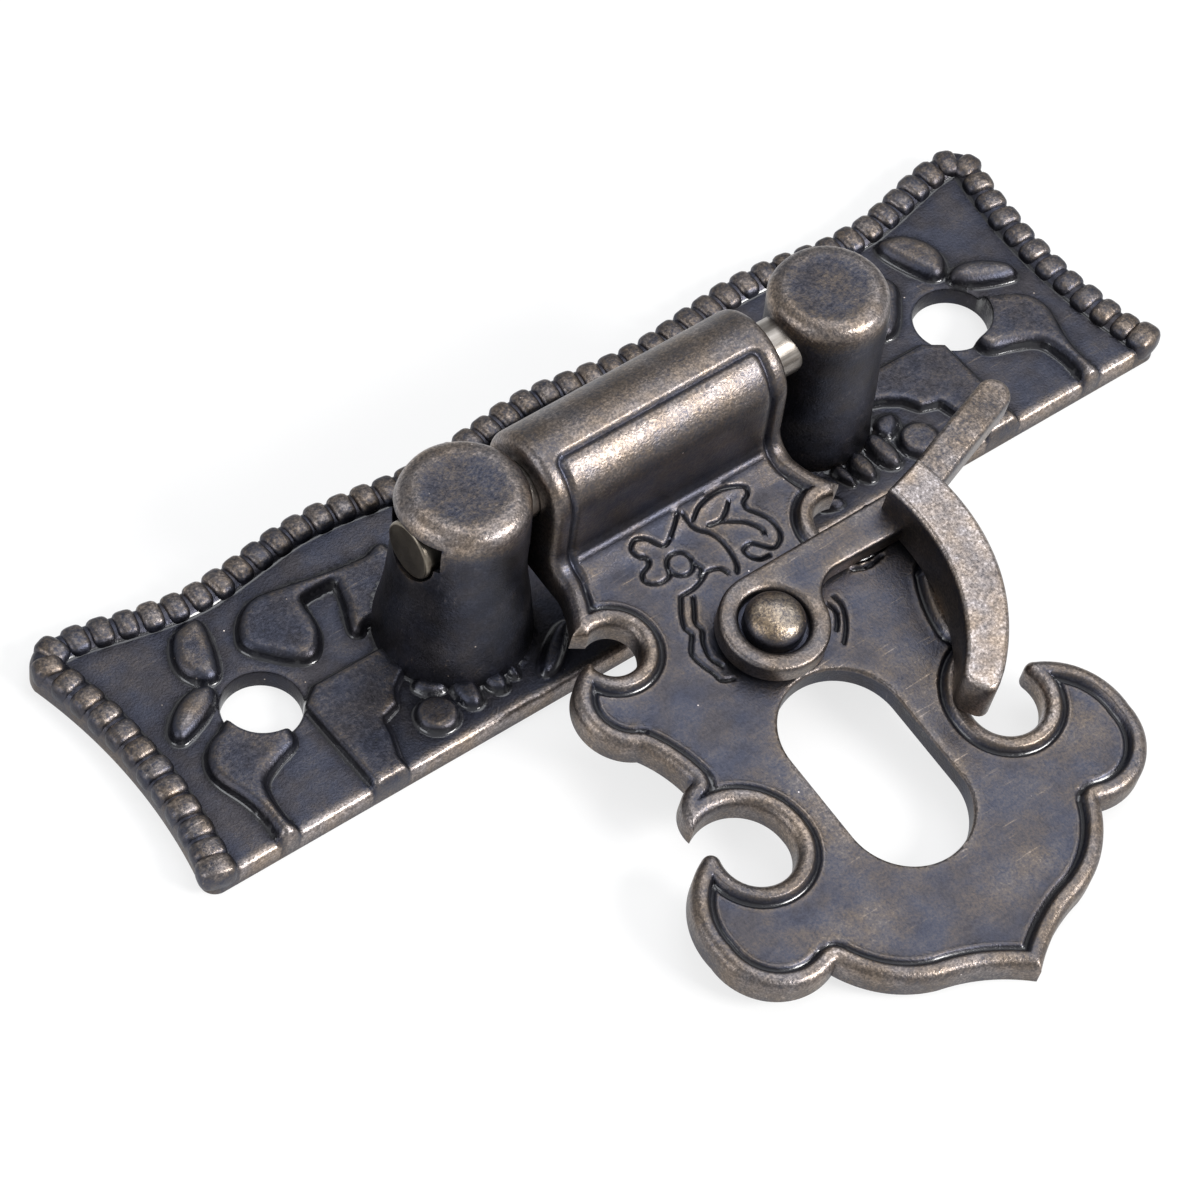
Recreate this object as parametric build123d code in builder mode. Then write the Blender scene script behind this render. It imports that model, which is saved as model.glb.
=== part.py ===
from build123d import *
import os
from math import asin, atan2, cos, hypot, radians, sin

# Hasp latch: a beaded screw plate with two hinge posts, a scrolled hasp that hangs on a pin
# between the posts, and a swing catch riveted to the hasp.
# Millimetres. The origin is midway between the screw holes, on the back face of the plate.

# Screw plate
plate_half_length = 35.2
plate_front = -8.5
plate_back = 9.6
field_thickness = 1.3
end_hollow = 1.0
back_waves = 2
wave_span = 24.9
wave_height = 0.4
corner_rise = 1.1
corner_radius = 1.8
screw_spacing = 51.4
screw_hole_radius = 2.4

# Bead row round the back edge and the two ends
bead_radius = 0.95
bead_sides = 8
bead_length = 1.2
bead_pitch = 1.56
bead_inset = 0.98
bead_sink = 0.25

# Raised leaves on the sunk field
relief_height = 0.7
relief_sink = 0.1
relief_draft = 22.0
flower_radius = 1.3
flower_sides = 12
flower_petal_length = 2.9
flower_petal_width = 1.7
spray_length = 4.2
spray_width = 1.1

# Hinge posts
post_spacing = 26.5
post_y = -1.4
post_height = 12.6
open_post_radius = 3.95
open_post_foot_radius = 4.8
blind_post_radius = 3.65
blind_post_foot_radius = 3.8
post_swell_drop = 3.6
post_crown = 1.0
foot_sink = 0.2

# Hinge pin
pin_radius = 1.8
pin_height = 9.6
pin_seat_clearance = 0.02
pin_running_clearance = 0.08
pin_end_recess = 0.15
blind_hole_depth = 4.2
mouth_width = 4.6
mouth_height = 2.0
mouth_depth = 1.3

# Hasp: distances along it start below the pin axis
knuckle_width = 17.0
knuckle_radius = 3.4
knuckle_side_gap = 0.25
rim_drop = 3.68
rim_thickness = 1.8
rim_width = 1.25
field_recess = 0.35
neck_fillet = 1.3
neck_bulge = 0.3
shoulder_radius = 3.6
hasp_reach = 38.9
hasp_half_width = 15.2
slot_radius = 3.9
slot_length = 13.5
slot_to_tip = 8.45

# Flower spray cut into the sunk field
stroke_width = 0.24
stroke_depth = 0.12
flower_eye_at = (-1.6, 7.2)
flower_eye_radius = 0.78
flower_eye_sides = 6

# Line cut round the panel on the knuckle
groove_width = 0.4
groove_depth = 0.25
groove_inset = 1.3
groove_top_angle = 75.0
groove_low_angle = -5.0

# Swing catch, in the plane of the hasp with the rivet at its origin
catch_lift = 0.12
hub_clearance = 0.03
hub_radius = 2.6
eye_radius = 3.3
eye_overhang = 0.05
eye_thickness = 1.4
arm_width = 2.3
arm_fillet = 1.4
hook_inner = 10.3
hook_outer = 13.2
hook_tip_inner = 11.1
hook_height = 3.6
hook_root_angle = 15.0
hook_tip_angle = -58.0
hook_tip_round = 0.6
tab_width = 2.1
tab_thickness = 2.0
tab_top = 2.4
tab_root_angle = 10.5
tab_angle = 19.0
tab_length = 9.3

# Rivet
rivet_shank_radius = 1.15
rivet_head_radius = 1.83
rivet_dome_height = 0.95
dome_bands = 3
rivet_recess_radius = 2.07
rivet_recess_depth = 0.75
rivet_tail_radius = 1.8
rivet_tail_height = 0.5
rivet_seat_clearance = 0.02
rivet_running_clearance = 0.08
head_gap = 0.05

# Derived places
field_top = field_thickness
relief_plane = Plane.XY.offset(field_top - relief_sink)
post_x = post_spacing / 2
pin_z = field_top + pin_height
post_top = field_top + post_height
hole_x = screw_spacing / 2
rim_bottom_drop = rim_drop + rim_thickness
slot_at = hasp_reach - slot_to_tip - slot_length / 2
catch_at = slot_at - slot_length / 2 - eye_radius + eye_overhang

# The free hasp hangs until the underside of its tip touches the plane that the plate lies on.
tip_radius = hypot(hasp_reach, rim_bottom_drop)
slope = asin(pin_z / tip_radius) - atan2(rim_bottom_drop, hasp_reach)
hasp_x = -post_x + open_post_radius + knuckle_side_gap + knuckle_width / 2
hasp_normal = Vector(0, -sin(slope), cos(slope))
hasp_along = Vector(0, -cos(slope), -sin(slope))
pin_point = Vector(hasp_x, post_y, pin_z)
pin_axis = Axis(pin_point, (1, 0, 0))

# Planes of the hasp: its rim top, with y running back towards the pin, its side profile, and
# a radial plane of the knuckle where the cut line crosses the top.
rim_plane = Plane(origin=pin_point - hasp_normal * rim_drop, x_dir=(1, 0, 0), z_dir=hasp_normal)
profile_plane = Plane(origin=pin_point, x_dir=hasp_along, z_dir=(-1, 0, 0))
rivet_plane = Plane(
    origin=rim_plane.from_local_coords(Vector(0, -catch_at, 0)),
    x_dir=(1, 0, 0),
    z_dir=hasp_normal,
)
top_angle = radians(groove_top_angle)
groove_radial = hasp_along * cos(top_angle) + hasp_normal * sin(top_angle)
groove_plane = Plane(origin=pin_point, x_dir=(1, 0, 0), z_dir=Vector(1, 0, 0).cross(groove_radial))


def polar(radius, angle):
    """Point at a radius and an angle in degrees from the local x axis."""
    return (radius * cos(radians(angle)), radius * sin(radians(angle)))


def plate_half_edges():
    """Right half of the plate's outline: wavy back edge, corner, hollow end and front corner."""
    half_wave = wave_span / (2 * back_waves - 1)
    corner_x = plate_half_length - corner_radius
    corner_y = plate_back + corner_rise
    front_x = plate_half_length - corner_radius / 2
    front_corner_y = plate_front + corner_radius / 2
    middle_y = (plate_front + plate_back) / 2
    waves = [(i * half_wave, plate_back + wave_height * (-1) ** i) for i in range(2 * back_waves)]
    back = Spline(*waves, (corner_x, corner_y), tangents=((1, 0), (1, 0)))
    corner = RadiusArc(back @ 1, (plate_half_length, corner_y - corner_radius), corner_radius)
    end = ThreePointArc(
        corner @ 1,
        (plate_half_length - end_hollow, middle_y),
        (plate_half_length, front_corner_y),
    )
    front_corner = RadiusArc(end @ 1, (front_x, plate_front), corner_radius / 2)
    Line(front_corner @ 1, (0, plate_front))
    return back, corner, end


def bead_places(edges):
    """Planes across the beads, evenly spaced along the outline and set in from it, on both halves."""
    places = []
    for edge in edges:
        count = max(1, round(edge.length / bead_pitch))
        for i in range(count):
            at = (i + 0.5) / count
            tangent = edge.tangent_at(at)
            inward = Vector(tangent.Y, -tangent.X, 0)
            place = edge.position_at(at) + inward * bead_inset + Vector(0, 0, field_top - bead_sink)
            for side in (1, -1):
                places.append(
                    Plane(
                        origin=(side * place.X, place.Y, place.Z),
                        x_dir=(0, 0, 1),
                        z_dir=(side * tangent.X, tangent.Y, 0),
                    )
                )
    return places


def small_petal(length, width, angle):
    """Petal with cut corners, turned by an angle in degrees."""
    cut = width / 4
    half = [(length / 2, cut), (length / 2 - cut, width / 2), (cut - length / 2, width / 2), (-length / 2, cut)]
    Polygon(*half, *[(-x, -y) for x, y in half], rotation=angle)


def scroll(across, along):
    """Point of the scrolled outline, as shares of the hasp's half width and of its reach."""
    return (across * hasp_half_width, -along * hasp_reach)


def hasp_half_edges():
    """Right half of the scrolled plate, from the tip to the neck. Local y runs towards the pin."""
    half_neck = knuckle_width / 2
    tip = ThreePointArc(scroll(0, 1), scroll(0.151, 0.960), scroll(0.336, 0.934))
    bulge = ThreePointArc(tip @ 1, scroll(0.546, 0.884), scroll(0.638, 0.832))
    lobe_out = ThreePointArc(bulge @ 1, scroll(0.888, 0.820), scroll(1, 0.730))
    lobe_back = ThreePointArc(lobe_out @ 1, scroll(0.954, 0.648), scroll(0.803, 0.596))
    horn = ThreePointArc(lobe_back @ 1, scroll(0.757, 0.596), scroll(0.743, 0.612))
    notch = ThreePointArc(horn @ 1, scroll(0.592, 0.684), scroll(0.451, 0.622))
    under_tooth = ThreePointArc(notch @ 1, scroll(0.533, 0.558), scroll(0.757, 0.553))
    tooth = ThreePointArc(under_tooth @ 1, scroll(0.737, 0.512), scroll(0.645, 0.488))
    waist = ThreePointArc(tooth @ 1, scroll(0.668, 0.447), scroll(0.717, 0.406))
    small_lobe = ThreePointArc(waist @ 1, scroll(0.836, 0.329), scroll(0.678, 0.249))
    small_horn = ThreePointArc(small_lobe @ 1, scroll(0.655, 0.251), scroll(0.655, 0.262))
    small_notch = ThreePointArc(small_horn @ 1, scroll(0.447, 0.257), scroll(0.592, 0.213))
    cusp = Line(small_notch @ 1, scroll(0.645, 0.200))
    neck_foot = (half_neck, -knuckle_radius - neck_bulge)
    shoulder = RadiusArc(cusp @ 1, neck_foot, shoulder_radius)
    Line(shoulder @ 1, (0, neck_foot[1]))


def flower_strokes():
    """Strokes of the flower spray, as points across the hasp and along it from the pin."""
    return (
        ((-0.6, 5.3), (-1.65, 5.8), (-2.2, 5.3)),
        ((-3.5, 5.4), (-3.05, 5.9), (-4.0, 6.8), (-3.45, 7.6), (-2.65, 7.55), (-2.35, 7.0)),
        ((0.5, 5.4), (1.25, 6.6), (1.45, 7.7), (0.95, 9.35)),
        ((4.7, 5.35), (4.1, 6.0), (4.8, 7.7), (4.7, 8.6), (3.75, 9.2)),
        ((3.75, 9.2), (2.8, 8.25), (2.15, 8.6), (3.3, 9.5)),
        ((1.4, 6.0), (2.2, 6.1), (3.3, 5.4)),
        ((2.2, 6.1), (3.45, 7.0), (3.9, 8.15)),
        ((-0.85, 7.6), (-0.7, 8.1), (-1.1, 8.5)),
        ((-0.55, 8.4), (0.2, 8.65), (0.45, 9.1)),
        ((-1.4, 8.8), (-2.8, 8.95), (-3.9, 11.0), (-4.65, 12.4), (-4.2, 14.6), (-3.6, 14.9)),
        ((-2.3, 9.4), (-3.2, 11.1), (-3.85, 13.1), (-3.55, 13.9)),
        ((4.8, 13.65), (4.85, 14.35), (3.35, 16.4)),
        ((4.2, 13.9), (4.25, 14.5), (3.5, 15.5)),
    )


# Screw plate with posts, one casting
with BuildPart() as base_plate:
    with BuildSketch():
        with BuildLine():
            beaded_edges = plate_half_edges()
            mirror(about=Plane.YZ)
        make_face()
    extrude(amount=field_thickness)

    # Open post on the left, blind post on the right: each swells towards its foot
    posts = (
        (-post_x, open_post_foot_radius, open_post_radius),
        (post_x, blind_post_foot_radius, blind_post_radius),
    )
    crown_bevel = post_crown * (1 - cos(radians(45)))
    for x, foot_radius, radius in posts:
        with BuildSketch(Plane.XZ.offset(-post_y)):
            with BuildLine():
                Polyline(
                    (x, field_top - foot_sink),
                    (x + foot_radius, field_top - foot_sink),
                    (x + foot_radius, field_top),
                    (x + radius, pin_z - post_swell_drop),
                    (x + radius, post_top - post_crown),
                    (x + radius - crown_bevel, post_top - crown_bevel),
                    (x + radius - post_crown, post_top),
                    (x, post_top),
                    close=True,
                )
            make_face()
        revolve(axis=Axis((x, post_y, 0), (0, 0, 1)))

    # Petals round the screw holes
    with BuildSketch(relief_plane):
        with BuildLine():
            petal = ThreePointArc((hole_x - 0.3, 7.0), (hole_x + 0.2, 4.25), (hole_x + 1.3, 2.8))
            ThreePointArc(petal @ 1, (hole_x + 2.7, 4.75), petal @ 0)
        make_face()
        with BuildLine():
            petal = ThreePointArc((hole_x + 1.7, 2.5), (hole_x + 3.5, 0.7), (hole_x + 5.7, 0.4))
            ThreePointArc(petal @ 1, (hole_x + 3.8, 2.95), petal @ 0)
        make_face()
        mirror(about=Plane.YZ)
    extrude(amount=relief_height + relief_sink, taper=relief_draft)

    # Bulbs, with stems that run to the posts and tongues beside the posts
    with BuildSketch(relief_plane):
        with BuildLine():
            inner = ThreePointArc((hole_x - 6.2, 4.9), (hole_x - 5.8, 2.3), (hole_x - 4.2, 0.75))
            outer = ThreePointArc(inner @ 1, (hole_x - 2.0, 2.4), (hole_x - 1.2, 4.1))
            back = ThreePointArc(outer @ 1, (hole_x - 2.1, 5.8), (hole_x - 4.1, 6.4))
            stem = Polyline(
                back @ 1,
                (post_x, 5.25),
                (post_x, 2.0),
                (hole_x - 8.7, 2.0),
                (hole_x - 7.8, 0.75),
                (hole_x - 7.1, 0.9),
            )
            tongue = ThreePointArc(stem @ 1, (hole_x - 7.8, 2.8), (hole_x - 8.4, 4.9))
            Line(tongue @ 1, inner @ 0)
        make_face()
        mirror(about=Plane.YZ)
    extrude(amount=relief_height + relief_sink, taper=relief_draft)

    # Flowers at the feet of the posts
    with BuildSketch(relief_plane):
        with Locations((post_x + 4.7, -6.3)):
            RegularPolygon(flower_radius, flower_sides)
        with Locations((post_x + 2.2, -5.7)):
            small_petal(flower_petal_length, flower_petal_width, 80)
        with Locations((post_x + 0.2, -6.1)):
            small_petal(flower_petal_length, flower_petal_width, 92)
        with Locations((post_x - 3.7, -6.2)):
            small_petal(spray_length, spray_width, -36)
        mirror(about=Plane.YZ)
    extrude(amount=relief_height + relief_sink, taper=relief_draft)

    # Long leaves whose tails run out to the front edge
    with BuildSketch(relief_plane):
        with BuildLine():
            crest = Polyline((hole_x + 2.4, -0.5), (hole_x - 0.1, -3.0), (hole_x + 0.3, -3.7))
            belly = ThreePointArc(crest @ 1, (hole_x + 2.6, -4.5), (hole_x + 3.4, -6.4))
            tail = Polyline(
                belly @ 1,
                (hole_x + 3.5, plate_front),
                (hole_x + 4.55, plate_front),
                (hole_x + 4.75, -5.0),
            )
            ThreePointArc(tail @ 1, (hole_x + 5.4, -2.5), crest @ 0)
        make_face()
        mirror(about=Plane.YZ)
    extrude(amount=relief_height + relief_sink, taper=relief_draft)

    # Raised panels between the screw holes and the posts, with a stepped inner side
    panel_side = hole_x - 1.8
    with BuildSketch(relief_plane):
        with BuildLine():
            Polyline(
                (panel_side, plate_front),
                (panel_side, -1.4),
                (panel_side - 1.4, -0.55),
                (panel_side - 6.2, -0.55),
                (panel_side - 6.8, -2.5),
                (panel_side - 5.0, -3.4),
                (panel_side - 4.5, -4.5),
                (panel_side - 3.3, -4.8),
                (panel_side - 2.4, -7.5),
                (panel_side - 2.4, plate_front),
                close=True,
            )
        make_face()
        mirror(about=Plane.YZ)
    extrude(amount=relief_height + relief_sink, taper=relief_draft)

    # Beads, short barrels that lie along the edge, with flats for quick display
    with BuildSketch(*bead_places(beaded_edges)):
        RegularPolygon(bead_radius, bead_sides, major_radius=False, rotation=180 / bead_sides)
    extrude(amount=bead_length / 2, both=True)

    # Pin bore, through the open post and blind in the other
    bore_start = -post_x - open_post_foot_radius
    bore_stop = post_x - blind_post_radius + blind_hole_depth
    with BuildSketch(Plane.YZ.offset(bore_start)):
        with Locations((post_y, pin_z)):
            Circle(pin_radius + pin_seat_clearance)
    extrude(amount=bore_stop - bore_start, mode=Mode.SUBTRACT)

    # Window above the pin's end in the side of the open post
    with Locations((-post_x - open_post_radius, post_y, pin_z)):
        Box(
            2 * mouth_depth,
            mouth_width,
            mouth_height,
            align=(Align.CENTER, Align.CENTER, Align.MIN),
            mode=Mode.SUBTRACT,
        )

    # Screw holes
    with Locations((-hole_x, 0, 0), (hole_x, 0, 0)):
        Cylinder(screw_hole_radius, 2 * post_top, mode=Mode.SUBTRACT)
base_plate.part.label = "base_plate"

# Hinge pin, flush with the open post at one end and bottomed in the blind post at the other
pin_start = -post_x - open_post_radius + pin_end_recess
with BuildPart() as hinge_pin:
    with BuildSketch(Plane.YZ.offset(pin_start)):
        with Locations((post_y, pin_z)):
            Circle(pin_radius)
    extrude(amount=bore_stop - pin_seat_clearance - pin_start)
    chamfer(hinge_pin.edges().filter_by(GeomType.CIRCLE), length=pin_end_recess)
hinge_pin.part.label = "hinge_pin"

# Hasp: knuckle, neck and scrolled plate, one casting
with BuildPart() as hasp:
    with BuildSketch(rim_plane) as outline:
        with BuildLine():
            hasp_half_edges()
            mirror(about=Plane.YZ)
        make_face()
    extrude(amount=-rim_thickness)

    # Sunk field inside the raised rim
    with BuildSketch(rim_plane):
        add(outline.sketch_local)
        offset(amount=-rim_width, mode=Mode.REPLACE)
    extrude(amount=-field_recess, mode=Mode.SUBTRACT)

    # Knuckle and neck
    neck_front = knuckle_radius + neck_bulge
    with BuildSketch(profile_plane):
        Circle(knuckle_radius)
        with BuildLine():
            underside = Polyline(
                (knuckle_radius, 0),
                (0, 0),
                polar(knuckle_radius, -115),
                (0.5 * knuckle_radius, -rim_bottom_drop),
                (neck_front + neck_fillet, -rim_bottom_drop),
                (neck_front + neck_fillet, -rim_drop),
            )
            hollow = RadiusArc(underside @ 1, (neck_front, -rim_drop + neck_fillet), neck_fillet)
            Line(hollow @ 1, underside @ 0)
        make_face()
    extrude(amount=knuckle_width / 2, both=True)

    # Line round the panel of the knuckle: one run along the top and one down each end
    groove_half_span = knuckle_width / 2 - groove_inset
    with BuildSketch(groove_plane):
        with Locations((0, knuckle_radius)):
            Rectangle(2 * groove_half_span, 2 * groove_depth)
    extrude(amount=groove_width, mode=Mode.SUBTRACT)
    with BuildSketch(groove_plane):
        with Locations((-groove_half_span, knuckle_radius), (groove_half_span, knuckle_radius)):
            Rectangle(groove_width, 2 * groove_depth)
    revolve(
        axis=pin_axis,
        revolution_arc=groove_low_angle - groove_top_angle,
        mode=Mode.SUBTRACT,
    )

    # Pin bore
    with BuildSketch(profile_plane):
        Circle(pin_radius + pin_running_clearance)
    extrude(amount=knuckle_width, both=True, mode=Mode.SUBTRACT)

    # Staple slot
    with BuildSketch(rim_plane):
        with Locations((0, -slot_at)):
            SlotOverall(slot_length, 2 * slot_radius, rotation=90)
    extrude(amount=-rim_bottom_drop, mode=Mode.SUBTRACT)

    # Flower spray, cut with a round of short strokes
    with BuildSketch(rim_plane.offset(-field_recess)):
        for stroke in flower_strokes():
            with BuildLine():
                Polyline(*[(across, -along) for across, along in stroke])
            trace(line_width=stroke_width)
        with Locations((flower_eye_at[0], -flower_eye_at[1])):
            RegularPolygon(flower_eye_radius + stroke_width / 2, flower_eye_sides)
            RegularPolygon(flower_eye_radius - stroke_width / 2, flower_eye_sides, mode=Mode.SUBTRACT)
    extrude(amount=-stroke_depth, mode=Mode.SUBTRACT)

    # Rivet hole
    with BuildSketch(rivet_plane):
        Circle(rivet_shank_radius + rivet_seat_clearance)
    extrude(amount=-rim_bottom_drop, mode=Mode.SUBTRACT)
hasp.part.label = "hasp"

# Swing catch: hub, eye, arm, hook and thumb tab, one casting
catch_bottom = rivet_plane.offset(catch_lift)
hook_middle = (hook_inner + hook_outer) / 2
with BuildPart() as swing_catch:
    with BuildSketch(catch_bottom) as eye:
        Circle(eye_radius)
        with Locations((hook_middle / 2, eye_radius - arm_width / 2)):
            Rectangle(hook_middle, arm_width)
        crotch = Vector(eye_radius, eye_radius - arm_width)
        fillet(eye.vertices().sort_by_distance(crotch)[0], radius=arm_fillet)
    extrude(amount=eye_thickness - catch_lift)

    # Hub that stands on the sunk field
    with BuildSketch(catch_bottom):
        Circle(hub_radius)
    extrude(amount=hub_clearance - field_recess - catch_lift)

    # Hook, a tall blade curved about the rivet
    with BuildSketch(catch_bottom) as hook:
        with BuildLine():
            middle_angle = (hook_root_angle + hook_tip_angle) / 2
            inner = ThreePointArc(
                polar(hook_inner, hook_root_angle),
                polar(hook_inner, middle_angle),
                polar(hook_tip_inner, hook_tip_angle),
            )
            tip = Line(inner @ 1, polar(hook_outer, hook_tip_angle))
            outer = ThreePointArc(
                tip @ 1,
                polar(hook_outer, middle_angle),
                polar(hook_outer, hook_root_angle),
            )
            Line(outer @ 1, inner @ 0)
        make_face()
        fillet(hook.vertices().sort_by_distance(tip @ 0.5)[:2], radius=hook_tip_round)
    extrude(amount=hook_height - catch_lift)

    # Thumb tab
    tab_root = Vector(*polar(hook_middle, tab_root_angle))
    tab_middle = tab_root + Vector(*polar(tab_length / 2, tab_angle))
    with BuildSketch(rivet_plane.offset(tab_top)):
        with Locations((tab_middle.X, tab_middle.Y)):
            SlotCenterToCenter(tab_length, tab_width, rotation=tab_angle)
    extrude(amount=-tab_thickness)

    # Rivet hole with a recess for the rivet's head
    with BuildSketch(rivet_plane):
        Circle(rivet_shank_radius + rivet_running_clearance)
    extrude(amount=hook_height, both=True, mode=Mode.SUBTRACT)
    with BuildSketch(rivet_plane.offset(eye_thickness)):
        Circle(rivet_recess_radius)
    extrude(amount=-rivet_recess_depth, mode=Mode.SUBTRACT)
swing_catch.part.label = "swing_catch"

# Rivet: shank, domed head in the eye's recess and a flat tail under the hasp
head_seat = eye_thickness - rivet_recess_depth + head_gap
dome_angles = [90 * i / dome_bands for i in range(dome_bands + 1)]
dome = [
    (rivet_head_radius * cos(radians(a)), eye_thickness + rivet_dome_height * sin(radians(a)))
    for a in dome_angles[:-1]
]
dome.append((0, eye_thickness + rivet_dome_height))
with BuildPart() as catch_rivet:
    with BuildSketch(Plane(origin=rivet_plane.origin, x_dir=(1, 0, 0), z_dir=hasp_along)):
        with BuildLine():
            Polyline(
                (0, -rim_thickness - rivet_tail_height),
                (rivet_tail_radius, -rim_thickness - rivet_tail_height),
                (rivet_tail_radius, -rim_thickness),
                (rivet_shank_radius, -rim_thickness),
                (rivet_shank_radius, head_seat),
                (rivet_head_radius, head_seat),
                *dome,
                close=True,
            )
        make_face()
    revolve(axis=Axis(rivet_plane.origin, hasp_normal))
catch_rivet.part.label = "catch_rivet"

os.makedirs("parts", exist_ok=True)
for piece in (base_plate, hinge_pin, hasp, swing_catch, catch_rivet):
    export_step(piece.part, f"parts/{piece.part.label}.step")
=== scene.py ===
"""Looks of the hasp latch: an antique bronze box hasp of cast, worn metal on a white sweep.

The castings are laid out as trimmed sheets of fine triangles in millimetres, raised and cut by
distance to their own outlines and ornament lines, and wrapped to the solids of the frame.
"""

import logging
import math
from collections.abc import Callable
from dataclasses import dataclass, field
from enum import Enum

import bmesh
import bpy
import numpy as np
from mathutils import Matrix, Vector, geometry


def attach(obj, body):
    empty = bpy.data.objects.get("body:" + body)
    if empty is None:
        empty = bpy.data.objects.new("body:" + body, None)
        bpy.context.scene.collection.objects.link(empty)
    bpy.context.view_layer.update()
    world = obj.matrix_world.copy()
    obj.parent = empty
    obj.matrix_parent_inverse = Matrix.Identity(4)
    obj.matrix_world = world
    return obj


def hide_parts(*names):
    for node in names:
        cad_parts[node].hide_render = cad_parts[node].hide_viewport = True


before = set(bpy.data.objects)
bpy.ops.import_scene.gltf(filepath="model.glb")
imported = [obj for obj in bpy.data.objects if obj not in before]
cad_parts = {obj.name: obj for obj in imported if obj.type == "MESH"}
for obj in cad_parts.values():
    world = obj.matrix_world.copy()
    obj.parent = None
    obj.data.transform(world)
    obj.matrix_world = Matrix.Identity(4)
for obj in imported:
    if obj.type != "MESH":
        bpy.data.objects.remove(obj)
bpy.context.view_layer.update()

Array = np.ndarray
Triple = tuple[Array, Array, Array]
Piece = bpy.types.Object
Material = bpy.types.Material
Socket = bpy.types.NodeSocket

# One millimetre in metres, the spacing of points along outlines in millimetres,
# and the polish of a black crease.
MM = 0.001
STEP = 0.12
BLACKENED = -0.36
log = logging.getLogger("hasp_latch")


class Side(Enum):
    """Which end of the plate a post stands at."""

    LEFT = -1
    RIGHT = 1


class Body(Enum):
    """Rigid bodies of the frame that the pieces ride on."""

    BASE = "base"
    HASP = "hasp_leaf"
    CATCH = "catch"


def smooth_step(low: float, high: float, value: Array) -> Array:
    """Ease from 0 at low to 1 at high.

    Args:
        low: Value where the ramp starts.
        high: Value where the ramp ends.
        value: Values to map.

    Returns:
        The eased ramp.
    """
    t = np.clip((value - low) / (high - low), 0.0, 1.0)
    return t * t * (3.0 - 2.0 * t)


def line_of(distance: Array, width: float) -> Array:
    """Soft line profile: 1 on the line, fading over the width."""
    return np.exp(-((distance / width) ** 2))


def cushion(depth: Array, width: float) -> Array:
    """Quarter-round rise from 0 at an edge to 1 at the width inside it."""
    t = np.clip(depth / width, 0.0, 1.0)
    return np.sqrt(np.clip(1.0 - (1.0 - t) ** 2, 0.0, 1.0))


def edge_round(depth: Array, radius: float) -> Array:
    """Drop of a rounded edge: minus the radius on the edge, 0 from the radius inwards."""
    return radius * (cushion(depth, radius) - 1.0)


def at_angles(angles: Array) -> Array:
    """Points of the unit circle at angles in radians."""
    return np.stack([np.cos(angles), np.sin(angles)], 1)


def arc_through(a: tuple, b: tuple, c: tuple, step: float = STEP) -> Array:
    """Points along the circular arc from a over b to c, without c.

    Args:
        a: First point.
        b: Point on the arc.
        c: Last point.
        step: Distance between the points.

    Returns:
        The points, one per row.
    """
    (ax, ay), (bx, by), (cx, cy) = a, b, c
    d = 2.0 * (ax * (by - cy) + bx * (cy - ay) + cx * (ay - by))
    sa, sb, sc = ax * ax + ay * ay, bx * bx + by * by, cx * cx + cy * cy
    ux = (sa * (by - cy) + sb * (cy - ay) + sc * (ay - by)) / d
    uy = (sa * (cx - bx) + sb * (ax - cx) + sc * (bx - ax)) / d
    radius = math.hypot(ax - ux, ay - uy)
    start = math.atan2(ay - uy, ax - ux)
    middle = (math.atan2(by - uy, bx - ux) - start) % (2.0 * math.pi)
    sweep = (math.atan2(cy - uy, cx - ux) - start) % (2.0 * math.pi)
    if middle > sweep:
        sweep -= 2.0 * math.pi
    count = max(3, int(abs(sweep) * radius / step))
    return np.array((ux, uy)) + radius * at_angles(start + sweep * np.arange(count) / count)


def straight(a: tuple, b: tuple, step: float = STEP) -> Array:
    """Points along a straight run from a to b, without b."""
    a, b = np.array(a, float), np.array(b, float)
    count = max(1, int(np.linalg.norm(b - a) / step))
    return a + (b - a) * (np.arange(count) / count)[:, None]


def ring_of(radius: float, count: int) -> Array:
    """Points round a circle about the origin."""
    return radius * at_angles(np.linspace(0.0, 2.0 * math.pi, count + 1)[:-1])


def flowing(points: list, closed: bool = False, per_span: int = 6) -> Array:
    """Smooth curve through given points.

    Args:
        points: The points that the curve goes through.
        closed: Whether the curve runs back to its start.
        per_span: Points laid in each span.

    Returns:
        The curve's points.
    """
    p = np.array(points, float)
    n = len(p)
    if closed:
        before, after, after2 = np.roll(p, 1, 0), np.roll(p, -1, 0), np.roll(p, -2, 0)
        spans = [(before[i], p[i], after[i], after2[i]) for i in range(n)]
    else:
        q = np.vstack([2 * p[0] - p[1], p, 2 * p[-1] - p[-2]])
        spans = [(q[i], q[i + 1], q[i + 2], q[i + 3]) for i in range(n - 1)]
    t = (np.arange(per_span) / per_span)[:, None]
    rows = [
        0.5 * (2 * b + (c - a) * t + (2 * a - 5 * b + 4 * c - d) * t**2 + (3 * b - a - 3 * c + d) * t**3)
        for a, b, c, d in spans
    ]
    if not closed:
        rows.append(p[-1:])
    return np.vstack(rows)


def run_along(line: Array) -> Array:
    """Length of a line up to each of its points."""
    return np.concatenate([[0.0], np.cumsum(np.linalg.norm(np.diff(line, axis=0), axis=1))])


def even_steps(line: Array, pitch: float, before: float, after: float) -> Array:
    """Evenly spaced points along a line.

    Args:
        line: Points of the line.
        pitch: Spacing, kept about.
        before: Part of a step left free at the start.
        after: Part of a step left free at the end.

    Returns:
        The spaced points.
    """
    run = run_along(line)
    steps = round(run[-1] / pitch - before - after)
    at = (before + np.arange(steps + 1)) * run[-1] / (steps + before + after)
    return np.stack([np.interp(at, run, line[:, k]) for k in (0, 1)], 1)


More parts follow.
